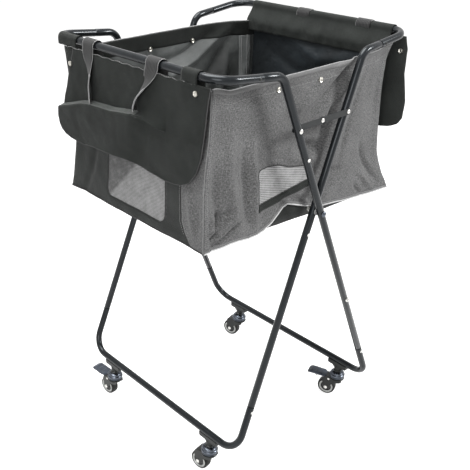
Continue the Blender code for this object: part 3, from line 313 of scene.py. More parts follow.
PAINT = paint_material("tube_paint", 0.0075, (0.88, 1.0, 1.14), 0.20, 0.30)
BRACKET_PAINT = paint_material("bracket_paint", 0.014, (0.98, 1.0, 0.90), 0.30, 0.46)
FORK_PAINT = paint_material("fork_paint", 0.018, (1.0, 1.0, 0.90), 0.26, 0.42)
PEDAL_PAINT = paint_material("pedal_paint", 0.055, (0.82, 0.94, 1.20), 0.24, 0.40)
ZINC = metal_material("zinc_plate", 0.72, (1.0, 0.99, 0.95), 0.26)
CUP_STEEL = metal_material("cup_steel", 0.11, (0.88, 0.98, 1.16), 0.20)
SNAP_METAL = metal_material("snap_metal", 0.62, (1.0, 0.97, 0.88), 0.28)
RUBBER = rubber_material()
RIM = plastic_material("rim_plastic", 0.62, (0.98, 1.0, 0.97))
HUB_BLACK = plastic_material("hub_plastic", 0.016)
SPACER = plastic_material("spacer_plastic", 0.30)
BOARD = dark_cloth_material("board_cover", 0.026, 240.0, 0.05)
HEATHER = heather_material()
LINING = lining_material("lining", 0.073, (0.96, 1.03, 1.01), 0.40)
CORNER_LINING = lining_material("corner_lining", 0.17, (0.97, 1.02, 1.01), 0.40)
# Painted sky light: the end lining's blue tint stands in for blue sky on the shaded end walls and their glinting
# crinkles
END_LINING = lining_material("end_lining", 0.017, (0.76, 1.0, 1.18), 0.28)
FLAP_CLOTH = dark_cloth_material("flap_cloth", 0.017, 420.0, 0.07, 0.11)
# Painted light: the rear flap is the front flap's cloth made lighter and glossier, to make up for the little light its
# face gets
REAR_CLOTH = dark_cloth_material("rear_flap_cloth", 0.027, 420.0, 0.14, 0.24)
# Painted highlight: a lighter, glossier copy of the flap cloth for the top of the front flap's ledge, where light falls
# on it
LEDGE_HIGHLIGHT_CLOTH = dark_cloth_material("ledge_highlight_cloth", 0.046, 420.0, 0.20, 0.20)
STAY_PAINT = paint_material("stay_paint", 0.014, (0.95, 1.0, 1.0), 0.34, 0.50, 0.10)
END_CLOTH = dark_cloth_material("end_cloth", 0.016, 360.0)
BASE_CLOTH = dark_cloth_material("base_cloth", 0.012, 300.0, 0.08)
BINDING_CLOTH = dark_cloth_material("binding_cloth", 0.011, 360.0, 0.06, 0.12)
SIDE_NET = net_material("side_net", 0.40, 0.070, 0.0036, 0.25, 0.20)
# The end net carries a painted shadow across its upper part
END_NET = net_material("end_net", 0.34, 0.060, 0.0028, 0.2, 0.20, (0.03, 0.705, 0.72, 0.69))
WEBBING = webbing_material("webbing", 0.030)
FRAY = thread_material("frayed_edge", 0.34)
PIPING = thread_material("piping", 0.68)
TAPE = thread_material("tape", 0.17)
TOP_CORD = thread_material("top_cord", 0.26)
THREAD = thread_material("thread", 0.34)
EDGE_BINDING = thread_material("edge_binding", 0.050)
DARK_BINDING = thread_material("dark_binding", 0.022)


# Mesh helpers

def new_object(name, data):
    item = bpy.data.objects.new(name, data)
    bpy.context.scene.collection.objects.link(item)
    return item


def link(name, mesh, material, smooth=True):
    item = new_object(name, mesh)
    if material:
        mesh.materials.append(material)
    if smooth:
        mesh.shade_smooth()
    return item


def from_data(name, verts, faces, material, smooth=True):
    mesh = bpy.data.meshes.new(name)
    mesh.from_pydata([tuple(v) for v in verts], [], faces)
    mesh.update()
    return link(name, mesh, material, smooth)


def lathe(name, profile, matrix, material, steps=40):
    """Turn (radius, height) pairs about Z; pairs run top to bottom on the outside."""
    verts, faces = [], []
    count = len(profile)
    for i in range(steps):
        turn = 2 * pi * i / steps
        verts += [matrix @ Vector((r * cos(turn), r * sin(turn), z)) for r, z in profile]
    for i in range(steps):
        a, b = i * count, (i + 1) % steps * count
        faces += [(a + k, a + k + 1, b + k + 1, b + k) for k in range(count - 1)]
    item = from_data(name, verts, faces, material)
    tidy(item.data)
    sharpen(item, 40)
    return item


def mirrored(profile):
    """A profile followed by its mirror image about the middle plane."""
    return profile + [(r, -z) for r, z in reversed(profile)]


def tidy(mesh, distance=0.00001):
    shape = bmesh.new()
    shape.from_mesh(mesh)
    bmesh.ops.remove_doubles(shape, verts=shape.verts, dist=distance)
    bmesh.ops.recalc_face_normals(shape, faces=shape.faces)
    shape.to_mesh(mesh)
    shape.free()


def sharpen(item, degrees=35):
    item.data.set_sharp_from_angle(angle=radians(degrees))


def bevel(item, width, angle=40):
    modifier = item.modifiers.new("edges", "BEVEL")
    modifier.width = width
    modifier.segments = 2
    modifier.limit_method = "ANGLE"
    modifier.angle_limit = radians(angle)


def grid(name, rows, material, thickness, offset=-1.0):
    """A cloth surface through rows of points, with its own map in metres."""
    height, width = len(rows), len(rows[0])
    verts = [p for row in rows for p in row]
    faces = [
        (j * width + i, j * width + i + 1, (j + 1) * width + i + 1, (j + 1) * width + i)
        for j in range(height - 1)
        for i in range(width - 1)
    ]
    item = from_data(name, verts, faces, material)
    place = {}
    up = 0.0
    for j, row in enumerate(rows):
        run = 0.0
        middle = width // 2
        if j:
            up += (row[middle] - rows[j - 1][middle]).length
        for i in range(width):
            run += (row[i] - row[i - 1]).length if i else 0.0
            place[j * width + i] = (run, up)
    layer = item.data.uv_layers.new(name="cloth")
    for loop in item.data.loops:
        layer.data[loop.index].uv = place[loop.vertex_index]
    skin = item.modifiers.new("skin", "SOLIDIFY")
    skin.thickness = thickness
    skin.offset = offset
    return item


def strand(name, points, radius, material, sides=3, cyclic=False, scales=None):
    """A round rod, tube, cord or piping through the points."""
    curve = bpy.data.curves.new(name, "CURVE")
    curve.dimensions = "3D"
    curve.bevel_depth = radius
    curve.bevel_resolution = sides
    curve.use_fill_caps = not cyclic
    spline = curve.splines.new("POLY")
    spline.points.add(len(points) - 1)
    for i, point in enumerate(points):
        spline.points[i].co = (*point, 1.0)
        spline.points[i].radius = scales[i] if scales else 1.0
    spline.use_cyclic_u = cyclic
    spline.use_smooth = True
    curve.materials.append(material)
    return new_object(name, curve)


def as_mesh(item):
    """Turn a curve into a plain mesh with its ends joined on."""
    graph = bpy.context.evaluated_depsgraph_get()
    mesh = bpy.data.meshes.new_from_object(item.evaluated_get(graph))
    name = item.name
    material = item.data.materials[0]
    bpy.data.objects.remove(item, do_unlink=True)
    tidy(mesh)
    mesh.name = name
    mesh.materials.clear()
    return link(name, mesh, material)


def arc(before, corner, after, radius, steps):
    first = (before - corner).normalized()
    second = (after - corner).normalized()
    half = acos(max(-1.0, min(1.0, first.dot(second)))) / 2
    centre = corner + (first + second).normalized() * radius / sin(half)
    start = corner + first * radius / tan(half) - centre
    end = corner + second * radius / tan(half) - centre
    sweep = pi - 2 * half
    return [
        centre + (start * sin((1 - k / steps) * sweep) + end * sin(k / steps * sweep)) / sin(sweep)
        for k in range(steps + 1)
    ]


def smoothstep(a, b, x):
    t = max(0.0, min(1.0, (x - a) / (b - a)))
    return t * t * (3 - 2 * t)


def curve_at(stops, x):
    """Smooth interpolation through (x, value) stops, where a value may be a tuple."""
    if x <= stops[0][0]:
        return stops[0][1]
    for (x0, a), (x1, b) in zip(stops, stops[1:]):
        if x <= x1:
            t = (x - x0) / (x1 - x0)
            if isinstance(a, tuple):
                return tuple(p + (q - p) * t for p, q in zip(a, b))
            return a + (b - a) * t
    return stops[-1][1]


def stand_in(item, node, body):
    """The piece takes a solid's place and rides where the solid does."""
    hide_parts(node)
    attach(item, body)
    return item


# Frame tubes

def half_width(z):
    return WIDE + (NARROW - WIDE) * (z - BASE_Z) / (END_Z - BASE_Z)


def loop_point(end, side, x, z):
    return Vector((x, end * SHIFT + side * half_width(z), z))


def leg_point(end, side, z):
    return loop_point(end, side, end * (SLOPE * (z - BASE_Z) - BASE_X), z)


def end_corner(end, side):
    return loop_point(end, side, end * END_X, END_Z)


def handle_joint(end, side):
    share = (HANDLE_JOINT_X - BEND_X) / (END_X - BEND_X)
    return leg_point(end, side, BEND_Z).lerp(end_corner(end, side), share)


def hoop(tips, corners, radius):
    """A U-shaped route between two tips, with rounded corners."""
    route = [tips[0]] + arc(tips[0], corners[0], corners[1], radius, 16)
    return route + arc(corners[0], corners[1], tips[1], radius, 16) + [tips[1]]


def build_tubes():
    for end_name, end in ENDS.items():
        body = LOOPS[end]
        tips = [leg_point(end, s, LOW_JOINT_Z - 0.003) for s in (-1, 1)]
        route = hoop(tips, [leg_point(end, s, BASE_Z) for s in (-1, 1)], 0.045)
        item = strand(end_name + "_base_tube_skin", route, TUBE_R, PAINT, 7)
        stand_in(item, end_name + "_base_tube", body)
        tips = [handle_joint(end, s) + Vector((end * 0.003, 0, 0)) for s in (-1, 1)]
        route = hoop(tips, [end_corner(end, s) for s in (-1, 1)], 0.042)
        item = strand(end_name + "_end_bar_skin", route, TUBE_R, PAINT, 7)
        stand_in(item, end_name + "_end_bar", body)
        for side_name, side in SIDES.items():
            foot = leg_point(end, side, LOW_JOINT_Z)
            head = handle_joint(end, side)
            bend = arc(foot, leg_point(end, side, BEND_Z), head, 0.030, 14)
            down = (foot - leg_point(end, side, BEND_Z)).normalized()
            out = (end_corner(end, side) - leg_point(end, side, BEND_Z)).normalized()
            route = [foot + down * 0.02, foot + down * 0.0022, foot, *bend, head]
            route += [head + out * 0.0022, head + out * 0.02]
            scales = [0.84, 0.84] + [1.0] * (len(bend) + 2) + [0.84, 0.84]
            name = f"{end_name}_leg_{side_name}"
            item = strand(name + "_skin", route, TUBE_R, PAINT, 7, scales=scales)
            stand_in(item, name, body)


def seated(seat, normal):
    """Frame with its Z axis along a surface's normal."""
    turn = Vector(normal).normalized().to_track_quat("Z", "Y").to_matrix().to_4x4()
    return Matrix.Translation(Vector(seat)) @ turn


def dome(name, seat, normal, radius, height, body, material=ZINC, socket=False):
    """A domed fastener head standing on a surface."""
    if socket:
        profile = [(0.0, height * 0.35), (radius * 0.45, height * 0.35), (radius * 0.5, height)]
        profile += [(radius * 0.92, height), (radius, height * 0.85), (radius, -0.0006)]
    else:
        profile = [
            (radius * sin(k * pi / 12), height * cos(k * pi / 12) ** 1.2) for k in range(6)
        ] + [(radius, height * 0.12), (radius, -0.0006)]
    item = lathe(name, profile, seated(seat, normal), material, 24)
    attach(item, body)
    return item


def shank(name, top, length, radius, around):
    """A plain rod that hangs along Y from its top."""
    outline = [(0.0, 0.0), (radius, 0.0), (radius, -length), (0.0, -length)]
    return lathe(name, outline, Matrix.Translation(top) @ SIDEWAYS, ZINC, around)


def build_leg_hardware():
    for side_name, side in SIDES.items():
        normal = Vector((0, side, 0))
        for end_name, end in ENDS.items():
            body = LOOPS[end]
            foot = leg_point(end, side, LOW_JOINT_Z)
            along = (leg_point(end, side, BEND_Z) - foot).normalized()
            low = foot - along * 0.014 + normal * TUBE_R
            dome(f"{end_name}_low_rivet_{side_name}", low, normal, 0.0034, 0.0014, body)
            joint = handle_joint(end, side)
            away = (end_corner(end, side) - joint).normalized()
            high = joint + away * 0.014 + normal * TUBE_R
            dome(f"{end_name}_handle_rivet_{side_name}", high, normal, 0.0032, 0.0012, body, BRACKET_PAINT)
            for i, z in enumerate((SCREW_Z, HIGH_SCREW_Z) if end == FRONT else (REAR_SCREW_Z,)):
                spot = leg_point(end, side, z) + normal * TUBE_R
                name = f"{end_name}_leg_screw_{side_name}_{i}"
                size = 0.0050 if z == SCREW_Z else 0.0036
                dome(name, spot, normal, size, 0.0022, body, socket=z == SCREW_Z)
        for end_name, end in ENDS.items():
            pin = leg_point(end, side, STAY_Z)
            node = f"{end_name}_stay_rivet_{side_name}"
            low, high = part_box(node)
            seat = Vector((pin.x, low[1] + 0.0018, pin.z))
            dome(node + "_head", seat, (0, -1, 0), 0.0046, 0.0022, LOOPS[end])
            tail = (pin.x, high[1] - 0.0004, pin.z)
            stand_in(shank(node + "_shank", tail, high[1] - low[1] - 0.002, 0.002, 16), node, LOOPS[end])
        low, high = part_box("stay_knuckle_" + side_name)
        seat = ((low[0] + high[0]) / 2, low[1] + 0.0018, (low[2] + high[2]) / 2)
        head = dome("stay_knuckle_head_" + side_name, seat, (0, -1, 0), 0.0046, 0.0022, "front_stay_" + side_name)
        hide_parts("stay_knuckle_" + side_name)
        low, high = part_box("pivot_bolt_" + side_name)
        middle = ((low[0] + high[0]) / 2, (low[2] + high[2]) / 2)
        dome("pivot_head_" + side_name, (middle[0], low[1] + 0.0034, middle[1]), (0, -1, 0), 0.0062, 0.0036,
             "front_loop", CUP_STEEL)
        tail = (middle[0], high[1], middle[1])
        rod = shank("pivot_shank_" + side_name, tail, high[1] - low[1] - 0.003, 0.003, 20)
        stand_in(rod, "pivot_bolt_" + side_name, "front_loop")


def capsule(a, b, half):
    """Outline of a flat bar with round ends between two centres on one level."""
    steps = 10
    right = [(b + half * sin(pi * k / steps), -half * cos(pi * k / steps)) for k in range(steps + 1)]
    left = [(a - half * sin(pi * k / steps), half * cos(pi * k / steps)) for k in range(steps + 1)]
    return right + left


def build_stays():
    """The flat folding stays, slimmer than their solids, with rounded ends."""
    for end_name in ENDS:
        for side_name in SIDES:
            node = f"{end_name}_stay_{side_name}"
            low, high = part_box(node)
            reach = (high[2] - low[2]) / 2
            outline = capsule(low[0] + reach, high[0] - reach, STAY_HALF)
            place = Matrix.Translation((0.0, (low[1] + high[1]) / 2, (low[2] + high[2]) / 2))
            bar = plate(node + "_bar", outline, high[1] - low[1], place @ UPRIGHT, STAY_PAINT)
            bevel(bar, 0.0004)
            stand_in(bar, node, node)


def paint_nodes():
    """Carried-over solids get their finished materials."""
    looks = {"pivot_nut": ZINC, "pivot_spacer": SPACER}
    for name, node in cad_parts.items():
        for start, material in looks.items():
            if name.startswith(start):
                for slot in node.material_slots:
                    slot.material = material
                bevel(node, 0.0004, 30)


# Casters

def caster_spot(name):
    end = REAR if name.startswith("front") else FRONT
    side = SIDES[name.split("_")[1]]
    corner = leg_point(end, side, BASE_Z)
    return Vector((corner.x, corner.y - side * CASTER_INSET, 0.0)), LOOPS[end]


def plate(name, outline, thickness, matrix, material, holes=()):
    """A flat plate from an outline in XY, centred on its plane."""
    curve = bpy.data.curves.new(name, "CURVE")
    curve.dimensions = "2D"
    curve.fill_mode = "BOTH"
    curve.extrude = thickness / 2
    for loop in (outline, *holes):
        spline = curve.splines.new("POLY")
        spline.points.add(len(loop) - 1)
        for point, (x, y) in zip(spline.points, loop):
            point.co = (x, y, 0.0, 1.0)
        spline.use_cyclic_u = True
    curve.materials.append(material)
    made = as_mesh(new_object(name, curve))
    made.data.transform(matrix)
    sharpen(made, 35)
    return made


def build_saddle(name, spot, body):
    """Short block under the tube, gussets and a round neck down to the bearing."""
    top = BASE_Z - TUBE_R
    block = [(-0.0285, 0.0960), (-0.0255, 0.0945), (0.0255, 0.0945), (0.0285, 0.0960), (0.0290, top + 0.0020),
             (-0.0290, top + 0.0020)]
    upright = Matrix.Translation((spot.x, spot.y, 0)) @ Matrix.Rotation(pi / 2, 4, "Z") @ UPRIGHT
    channel = plate("saddle_block_" + name, block, 0.0150, upright, BRACKET_PAINT)
    bevel(channel, 0.0010)
    stand_in(channel, "caster_bracket_" + name, body)
    web = [(-0.0225, 0.0950), (-0.0190, 0.0915), (-0.0105, 0.0845), (-0.0098, 0.0785), (0.0098, 0.0785),
           (0.0105, 0.0845), (0.0190, 0.0915), (0.0225, 0.0950)]
    gap = [(-0.0180, 0.0935), (-0.0112, 0.0935), (-0.0112, 0.0872)]
    gussets = plate("saddle_web_" + name, web, 0.0046, upright, BRACKET_PAINT, [gap])
    bevel(gussets, 0.0005)
    neck = [(0.0, 0.0950), (0.0088, 0.0950), (0.0086, 0.0860), (0.0082, 0.0822), (0.0100, 0.0812), (0.0104, 0.0800),
            (0.0104, 0.0785), (0.0098, 0.0775), (0.0, 0.0775)]
    post = lathe("saddle_neck_" + name, neck, Matrix.Translation(spot), BRACKET_PAINT, 32)
    for piece in (gussets, post):
        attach(piece, body)


def build_stem(name, spot, body):
    """The two-tiered bearing cup with rolled lips, over the fork."""
    profile = [(0.0, 0.0773), (0.0085, 0.0773), (0.0100, 0.0768), (0.0148, 0.0760), (0.0166, 0.0746)]
    profile += [(0.0171, 0.0728), (0.0169, 0.0712), (0.0178, 0.0706), (0.0191, 0.0698), (0.0197, 0.0682)]
    profile += [(0.0197, 0.0660), (0.0191, 0.0646), (0.0177, 0.0638), (0.0177, 0.0632), (0.0187, 0.0626)]
    profile += [(0.0190, 0.0614), (0.0184, 0.0602), (0.0165, 0.0594), (0.0040, 0.0590)]
    profile += [(0.0040, 0.0557), (0.0066, 0.0557), (0.0052, 0.0530), (0.0, 0.0530)]
    item = lathe("bearing_cup_" + name, profile, Matrix.Translation(spot), CUP_STEEL, 48)
    stand_in(item, "swivel_stem_" + name, body)


def fork_cheek():
    """Side view of one fork cheek, trail along +X: broad shoulder, tongue down to a round boss."""
    boss = [(TRAIL + 0.0080 * cos(a), WHEEL_R + 0.0080 * sin(a)) for a in
            [radians(190 + 16 * i) for i in range(13)]]
    front = [(-0.0150, 0.0575), (-0.0160, 0.0525), (-0.0120, 0.0470), (0.0020, 0.0420), (0.0125, 0.0340)]
    return front + boss + [(0.0345, 0.0360), (0.0362, 0.0450), (0.0345, 0.0525), (0.0290, 0.0575)]


def build_fork(name, matrix, body):
    slot = 0.0112
    wall = 0.0016
    pieces = []
    for side in (-1, 1):
        turn = Matrix.Translation((0, side * (slot + wall / 2), 0)) @ UPRIGHT
        cheek = plate(f"fork_cheek_{name}_{'ab'[side > 0]}", fork_cheek(), wall, matrix @ turn, FORK_PAINT)
        bevel(cheek, 0.0005)
        pieces.append(cheek)
    profile = [(0.0045, 0.0583), (0.0150, 0.0583), (0.0180, 0.0578), (0.0192, 0.0566), (0.0190, 0.0550)]
    profile += [(0.0170, 0.0545), (0.0045, 0.0556)]
    crown = lathe("fork_crown_" + name, profile + [profile[0]], matrix, FORK_PAINT, 48)
    bridge = [(-0.0150, 0.0560), (-0.0070, 0.0581), (0.0240, 0.0581), (0.0330, 0.0548), (0.0366, 0.0450)]
    bridge += [(0.0352, 0.0446), (0.0318, 0.0538), (0.0235, 0.0566), (-0.0060, 0.0566), (-0.0142, 0.0545)]
    top = plate("fork_bridge_" + name, bridge, 2 * slot + 2 * wall, matrix @ UPRIGHT, FORK_PAINT)
    bevel(top, 0.0008)
    pieces += [crown, top]
    for piece in pieces[1:]:
        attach(piece, body)
    stand_in(pieces[0], "fork_" + name, body)


def build_wheel(name, matrix, body):
    half = WHEEL_W / 2
    hub = matrix @ Matrix.Translation((TRAIL, 0, WHEEL_R)) @ SIDEWAYS
    tread = [(0.0186, half - 0.0006), (0.0196, half), (0.0208, half), (0.0222, half - 0.0010)]
    tread += [(0.0231, half - 0.0030), (WHEEL_R, half - 0.0060), (WHEEL_R, 0.0)]
    tread += [(r, -z) for r, z in reversed(tread[:-1])]
    tyre = lathe("tyre_skin_" + name, tread + [tread[0]], hub, RUBBER, 56)
    stand_in(tyre, "tyre_" + name, body)
    ring = [(0.0142, half - 0.0012), (0.0150, half - 0.0002), (0.0176, half + 0.0002), (0.0186, half - 0.0008)]
    face = [(0.0030, 0.0103), (0.0058, 0.0103), (0.0068, half - 0.0030), (0.0125, half - 0.0036)] + ring
    rim = lathe("rim_skin_" + name, mirrored(face) + [face[0]], hub, RIM, 48)
    stand_in(rim, "rim_" + name, body)
    for side in (-1, 1):
        turn = hub @ Matrix.Rotation(0 if side > 0 else pi, 4, "X")
        disc = [(0.0048, half - 0.0012), (0.0072, half - 0.0014), (0.0082, half - 0.0026), (0.0122, half - 0.0030)]
        disc += [(0.0134, half - 0.0012), (0.0141, half - 0.0014), (0.0141, half - 0.0034), (0.0048, half - 0.0034)]
        cap = lathe(f"hub_disc_{name}_{'ab'[side > 0]}", disc + [disc[0]], turn, HUB_BLACK, 40)
        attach(cap, body)


def build_axle(name, matrix, body):
    face = 0.0131
    hub = matrix @ Matrix.Translation((TRAIL, 0, WHEEL_R)) @ SIDEWAYS
    half = [(0.0, face + 0.0020), (0.0030, face + 0.0019), (0.0044, face + 0.0012), (0.0048, face + 0.0003)]
    half += [(0.0048, face - 0.0001), (0.0025, face - 0.0001)]
    item = lathe("axle_skin_" + name, mirrored(half), hub, ZINC, 28)
    stand_in(item, "axle_" + name, body)


def build_pedal(name, matrix, body):
    """Pedal of pressed steel: a ribbed tread with turned-down sides and a rolled tip."""
    place = matrix @ Matrix.Translation((0.019, 0, 0.052))
    length = 0.0575
    rows = []
    for j in range(49):
        x = -0.005 + (length + 0.005) * j / 48
        wide = 0.0098 + 0.0054 * smoothstep(0.006, 0.018, x) - 0.0030 * smoothstep(length - 0.006, length, x)
        lift = 0.0088 * smoothstep(0.0030, 0.0150, x) + 0.0012 * smoothstep(0.02, 0.045, x)
        lift -= 0.0024 * smoothstep(length - 0.007, length, x) + 0.0015 * (1 - smoothstep(-0.002, 0.003, x))
        ribs = 0.0012 * max(0.0, sin((x - 0.018) / 0.033 * 5 * pi)) if 0.018 < x < 0.051 else 0.0
        row = []
        for i in range(17):
            v = -1 + i / 8
            drop = -0.0034 * smoothstep(0.80, 1.0, abs(v))
            crown = ribs * (1 - smoothstep(0.62, 0.80, abs(v)))
            row.append(place @ Vector((x, v * wide, lift + drop + crown + 0.0004)))
        rows.append(row)
    tread = grid("pedal_tread_" + name, rows, PEDAL_PAINT, 0.0014)
    sharpen(tread, 50)
    pin = [(0.0, 0.0136), (0.0026, 0.0135), (0.0031, 0.0130), (0.0031, 0.0128), (0.0016, 0.0127)]
    for x, z, label in ((0.0, 0.0, "axle"), (0.0330, 0.0040, "bolt")):
        turn = place @ Matrix.Translation((x, 0, z)) @ SIDEWAYS
        rod = lathe(f"pedal_{label}_{name}", mirrored(pin), turn, ZINC, 20)
        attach(rod, body)
    stand_in(tread, "brake_pedal_" + name, body)


def build_casters():
    for name, heading in HEADINGS.items():
        spot, loop = caster_spot(name)
        matrix = Matrix.Translation(spot) @ Matrix.Rotation(radians(heading), 4, "Z")
        build_saddle(name, spot, loop)
        build_stem(name, spot, loop)
        build_fork(name, matrix, "swivel_" + name)
        build_axle(name, matrix, "swivel_" + name)
        build_wheel(name, matrix, "wheel_" + name)
        if name in BRAKED:
            build_pedal(name, matrix, "brake_" + name)


# Cloth bag

# Corner lines of the bag: height, then (x, y)
CORNERS = {
    ("front", "right"): [(0.600, (-0.289, -0.229)), (0.680, (-0.2895, -0.231)), (0.735, (-0.290, -0.2315)),
                         (0.785, (-0.286, -0.231)), (0.845, (-0.276, -0.2305)), (0.945, (-0.2695, -0.2305))],
    ("front", "left"): [(0.600, (-0.287, 0.221)), (0.650, (-0.283, 0.210)), (0.735, (-0.276, 0.199)),
                        (0.820, (-0.272, 0.208)), (0.945, (-0.2695, 0.229))],
    ("rear", "right"): [(0.590, (0.284, -0.2345)), (0.616, (0.273, -0.2315)), (0.636, (0.265, -0.2250)),
                        (0.666, (0.2575, -0.2175)), (0.690, (0.2535, -0.2135)), (0.748, (0.2510, -0.2115)),
                        (0.834, (0.2505, -0.2105)), (0.895, (0.2520, -0.2120)), (0.945, (0.2620, -0.2220))],
    ("rear", "left"): [(0.590, (0.286, 0.228)), (0.640, (0.276, 0.212)), (0.740, (0.264, 0.200)),
                       (0.850, (0.266, 0.198)), (0.945, (0.271, 0.200))],
}


def fold_table(table):
    """Folds as points along them, half width and height (out is positive), all in metres.

    A row gives half width and height in tenths of a millimetre, then the points in millimetres.
    """
    return [([(a / 1000, z / 1000) for a, z in points], width / 10000, height / 10000)
            for width, height, *points in table]


RIGHT_FOLDS = fold_table([
    (100, 75, (125, 925), (45, 888), (-25, 848)),
    (90, -85, (150, 920), (80, 868), (20, 838)),
    (90, 60, (165, 900), (100, 848), (40, 805)),
    (60, -45, (100, 915), (20, 872)),
    (160, 75, (172, 905), (125, 820), (75, 712)),
    (100, -60, (120, 900), (85, 830), (55, 770)),
    (100, -40, (200, 890), (160, 790), (130, 700)),
    (110, -140, (-12, 768), (52, 758)),
    (80, 50, (-30, 746), (45, 735)),
    (50, -70, (78, 695), (132, 688)),
    (150, 80, (-222, 830), (-223, 767), (-206, 705), (-194, 635)),
    (110, -65, (-262, 790), (-254, 719), (-246, 665)),
    (90, 55, (-160, 810), (-143, 727), (-146, 628)),
    (90, -65, (-182, 800), (-172, 727), (-168, 650)),
    (50, -140, (-268, 628), (-233, 642), (-198, 658)),
    (55, 50, (-262, 640), (-225, 654), (-195, 672)),
    (65, 60, (-280, 640), (-262, 700)),
    (60, -65, (-274, 638), (-247, 690)),
    (65, -65, (-250, 680), (-215, 690)),
    (60, 60, (-276, 668), (-250, 662), (-226, 668)),
    (50, -50, (-282, 655), (-258, 648)),
    (55, 50, (-240, 668), (-205, 676)),
    (80, -65, (262, 625), (236, 668), (215, 720)),
    (80, 55, (235, 615), (205, 660)),
    (60, -45, (190, 612), (176, 640)),
    (60, -50, (-110, 760), (-60, 758)),
    (80, -60, (-60, 668), (-10, 655), (40, 642)),
    (120, 50, (40, 636), (110, 655), (190, 636)),
    (180, 40, (-100, 850), (-60, 800)),
    (100, -35, (-240, 905), (-180, 895), (-130, 905)),
])
LEFT_FOLDS = fold_table([
    (140, 80, (-200, 900), (-120, 800), (-60, 700)),
    (130, -80, (-230, 860), (-180, 760), (-150, 660)),
    (150, 90, (230, 900), (150, 800), (60, 730)),
    (100, -75, (200, 905), (100, 845), (0, 810)),
    (90, 60, (150, 900), (60, 860), (-30, 850)),
    (130, -70, (255, 800), (235, 700), (240, 630)),
    (120, 70, (-40, 880), (10, 780), (0, 680)),
    (110, -60, (205, 860), (190, 770), (150, 700)),
    (110, -60, (-100, 690), (0, 655), (110, 680)),
])
END_FOLDS = fold_table([
    (100, 60, (-180, 740), (-190, 680), (-205, 630)),
    (80, -50, (-215, 740), (-212, 680), (-200, 640)),
    (120, -40, (150, 760), (160, 690), (180, 630)),
    (80, 30, (-150, 634), (-60, 628), (80, 630)),
    (140, -50, (-100, 900), (20, 860), (120, 880)),
    (140, 50, (-160, 860), (-50, 820), (80, 840)),
])
# The drawn-up hem of a long wall
HEM = [(-0.300, 0.623), (-0.250, 0.623), (-0.196, 0.622), (-0.170, 0.617), (-0.128, 0.620), (-0.106, 0.627),
       (-0.080, 0.642), (-0.062, 0.653), (-0.045, 0.655), (-0.010, 0.642), (0.023, 0.630), (0.056, 0.622),
       (0.136, 0.610), (0.236, 0.601), (0.300, 0.597)]
WALL_T = 0.0011
# Half extents of the walls' own coordinates, then where a long wall and the flaps lie
HALF_LENGTH, HALF_END = 0.29, 0.23
WALL_FACE, FLAP_FACE = 0.2295, 0.2902


def bottom_z(x):
    """The bag's floor hangs lower towards the rear."""
    return curve_at([(-0.30, 0.623), (-0.10, 0.618), (0.05, 0.607), (0.30, 0.597)], x)


def top_z(x, side_name="right"):
    """Top edge of a long wall: the right one is hooked up at its ends."""
    if side_name == "left":
        return 0.9215 - 0.0045 * smoothstep(0.20, 0.29, x) + 0.006 * smoothstep(0.25, 0.29, -x)
    return 0.9215 + 0.010 * smoothstep(0.235, 0.285, abs(x))


def segment_distance(px, pz, a, b):
    """Distance to a segment, and how far along it the nearest point lies."""
    dx, dz = b[0] - a[0], b[1] - a[1]
    t = max(0.0, min(1.0, ((px - a[0]) * dx + (pz - a[1]) * dz) / (dx * dx + dz * dz)))
    return hypot(px - a[0] - dx * t, pz - a[1] - dz * t), t


def fold_height(folds, a, z):
    total = 0.0
    for points, width, height in folds:
        spans = len(points) - 1
        found = [segment_distance(a, z, points[i], points[i + 1]) + (i,) for i in range(spans)]
        away, t, i = min(found, key=lambda item: item[0])
        along = (i + t) / spans
        taper = 0.45 + 0.55 * sin(pi * along)
        total += height * taper * exp(-((away / width) ** 2))
    return total


def crumple(x, y, z, seed, coarse=0.0022, fine=0.0008):
    place = Vector((x + seed * 3.1, y - seed * 1.7, z))
    return coarse * noise.noise(place * 16.0) + fine * noise.noise(place * 48.0)


def corner(end_name, side_name, z):
    return curve_at(CORNERS[(end_name, side_name)], z)


def side_point(side_name, x, z, lift=0.0):
    """A point of a long wall; lift is outward. x runs from -0.29 to 0.29 between the corners."""
    side = SIDES[side_name]
    fx, fy = corner("front", side_name, z)
    rx, ry = corner("rear", side_name, z)
    t = (x + HALF_LENGTH) / (2 * HALF_LENGTH)
    base_x = fx + (rx - fx) * t
    straight = fy + (ry - fy) * t
    full = side * WALL_FACE
    inset = smoothstep(0.0, 0.30, t) * smoothstep(0.0, 0.30, 1 - t)
    y = straight + (full - straight) * inset * 0.8
    folds = RIGHT_FOLDS if side < 0 else LEFT_FOLDS
    edge = smoothstep(0.0, 0.05, t) * smoothstep(0.0, 0.05, 1 - t)
    out = 1.35 * fold_height(folds, x, z) * edge + crumple(x, y, z, 1 + side) * (0.3 + 0.7 * edge)
    out -= 0.004 * sin(pi * min(1.0, max(0.0, (z - 0.62) / 0.30))) * edge
    limit = half_width(z) - SHIFT - TUBE_R - 0.0012
    y = side * (min(abs(y) + out, limit) + lift)
    return Vector((base_x, y, z))


def end_point(end_name, y, z, lift=0.0):
    """A point of an end wall; y runs from -0.23 to 0.23 between the corners."""
    end = ENDS[end_name]
    rx, ry = corner(end_name, "right", z)
    lx, ly = corner(end_name, "left", z)
    t = (y + HALF_END) / (2 * HALF_END)
    base_y = ry + (ly - ry) * t
    x = rx + (lx - rx) * t
    edge = smoothstep(0.0, 0.08, t) * smoothstep(0.0, 0.08, 1 - t)
    out = fold_height(END_FOLDS, y if end < 0 else -y, z) * (0.3 + 0.7 * edge)
    out += crumple(x, base_y, z, 5 + end) * (0.3 + 0.7 * edge)
    out -= 0.003 * edge
    return Vector((x + end * (out + lift), base_y, z))


def ride_both(item):
    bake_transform(item)
    return item


def carry(item, owner):
    """The owner takes the piece: on_body parents it to a body, ride_both bakes its placing into the mesh."""
    owner(item)
    return item


def on_body(body):
    def ride(item):
        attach(item, body)
        return item
    return ride


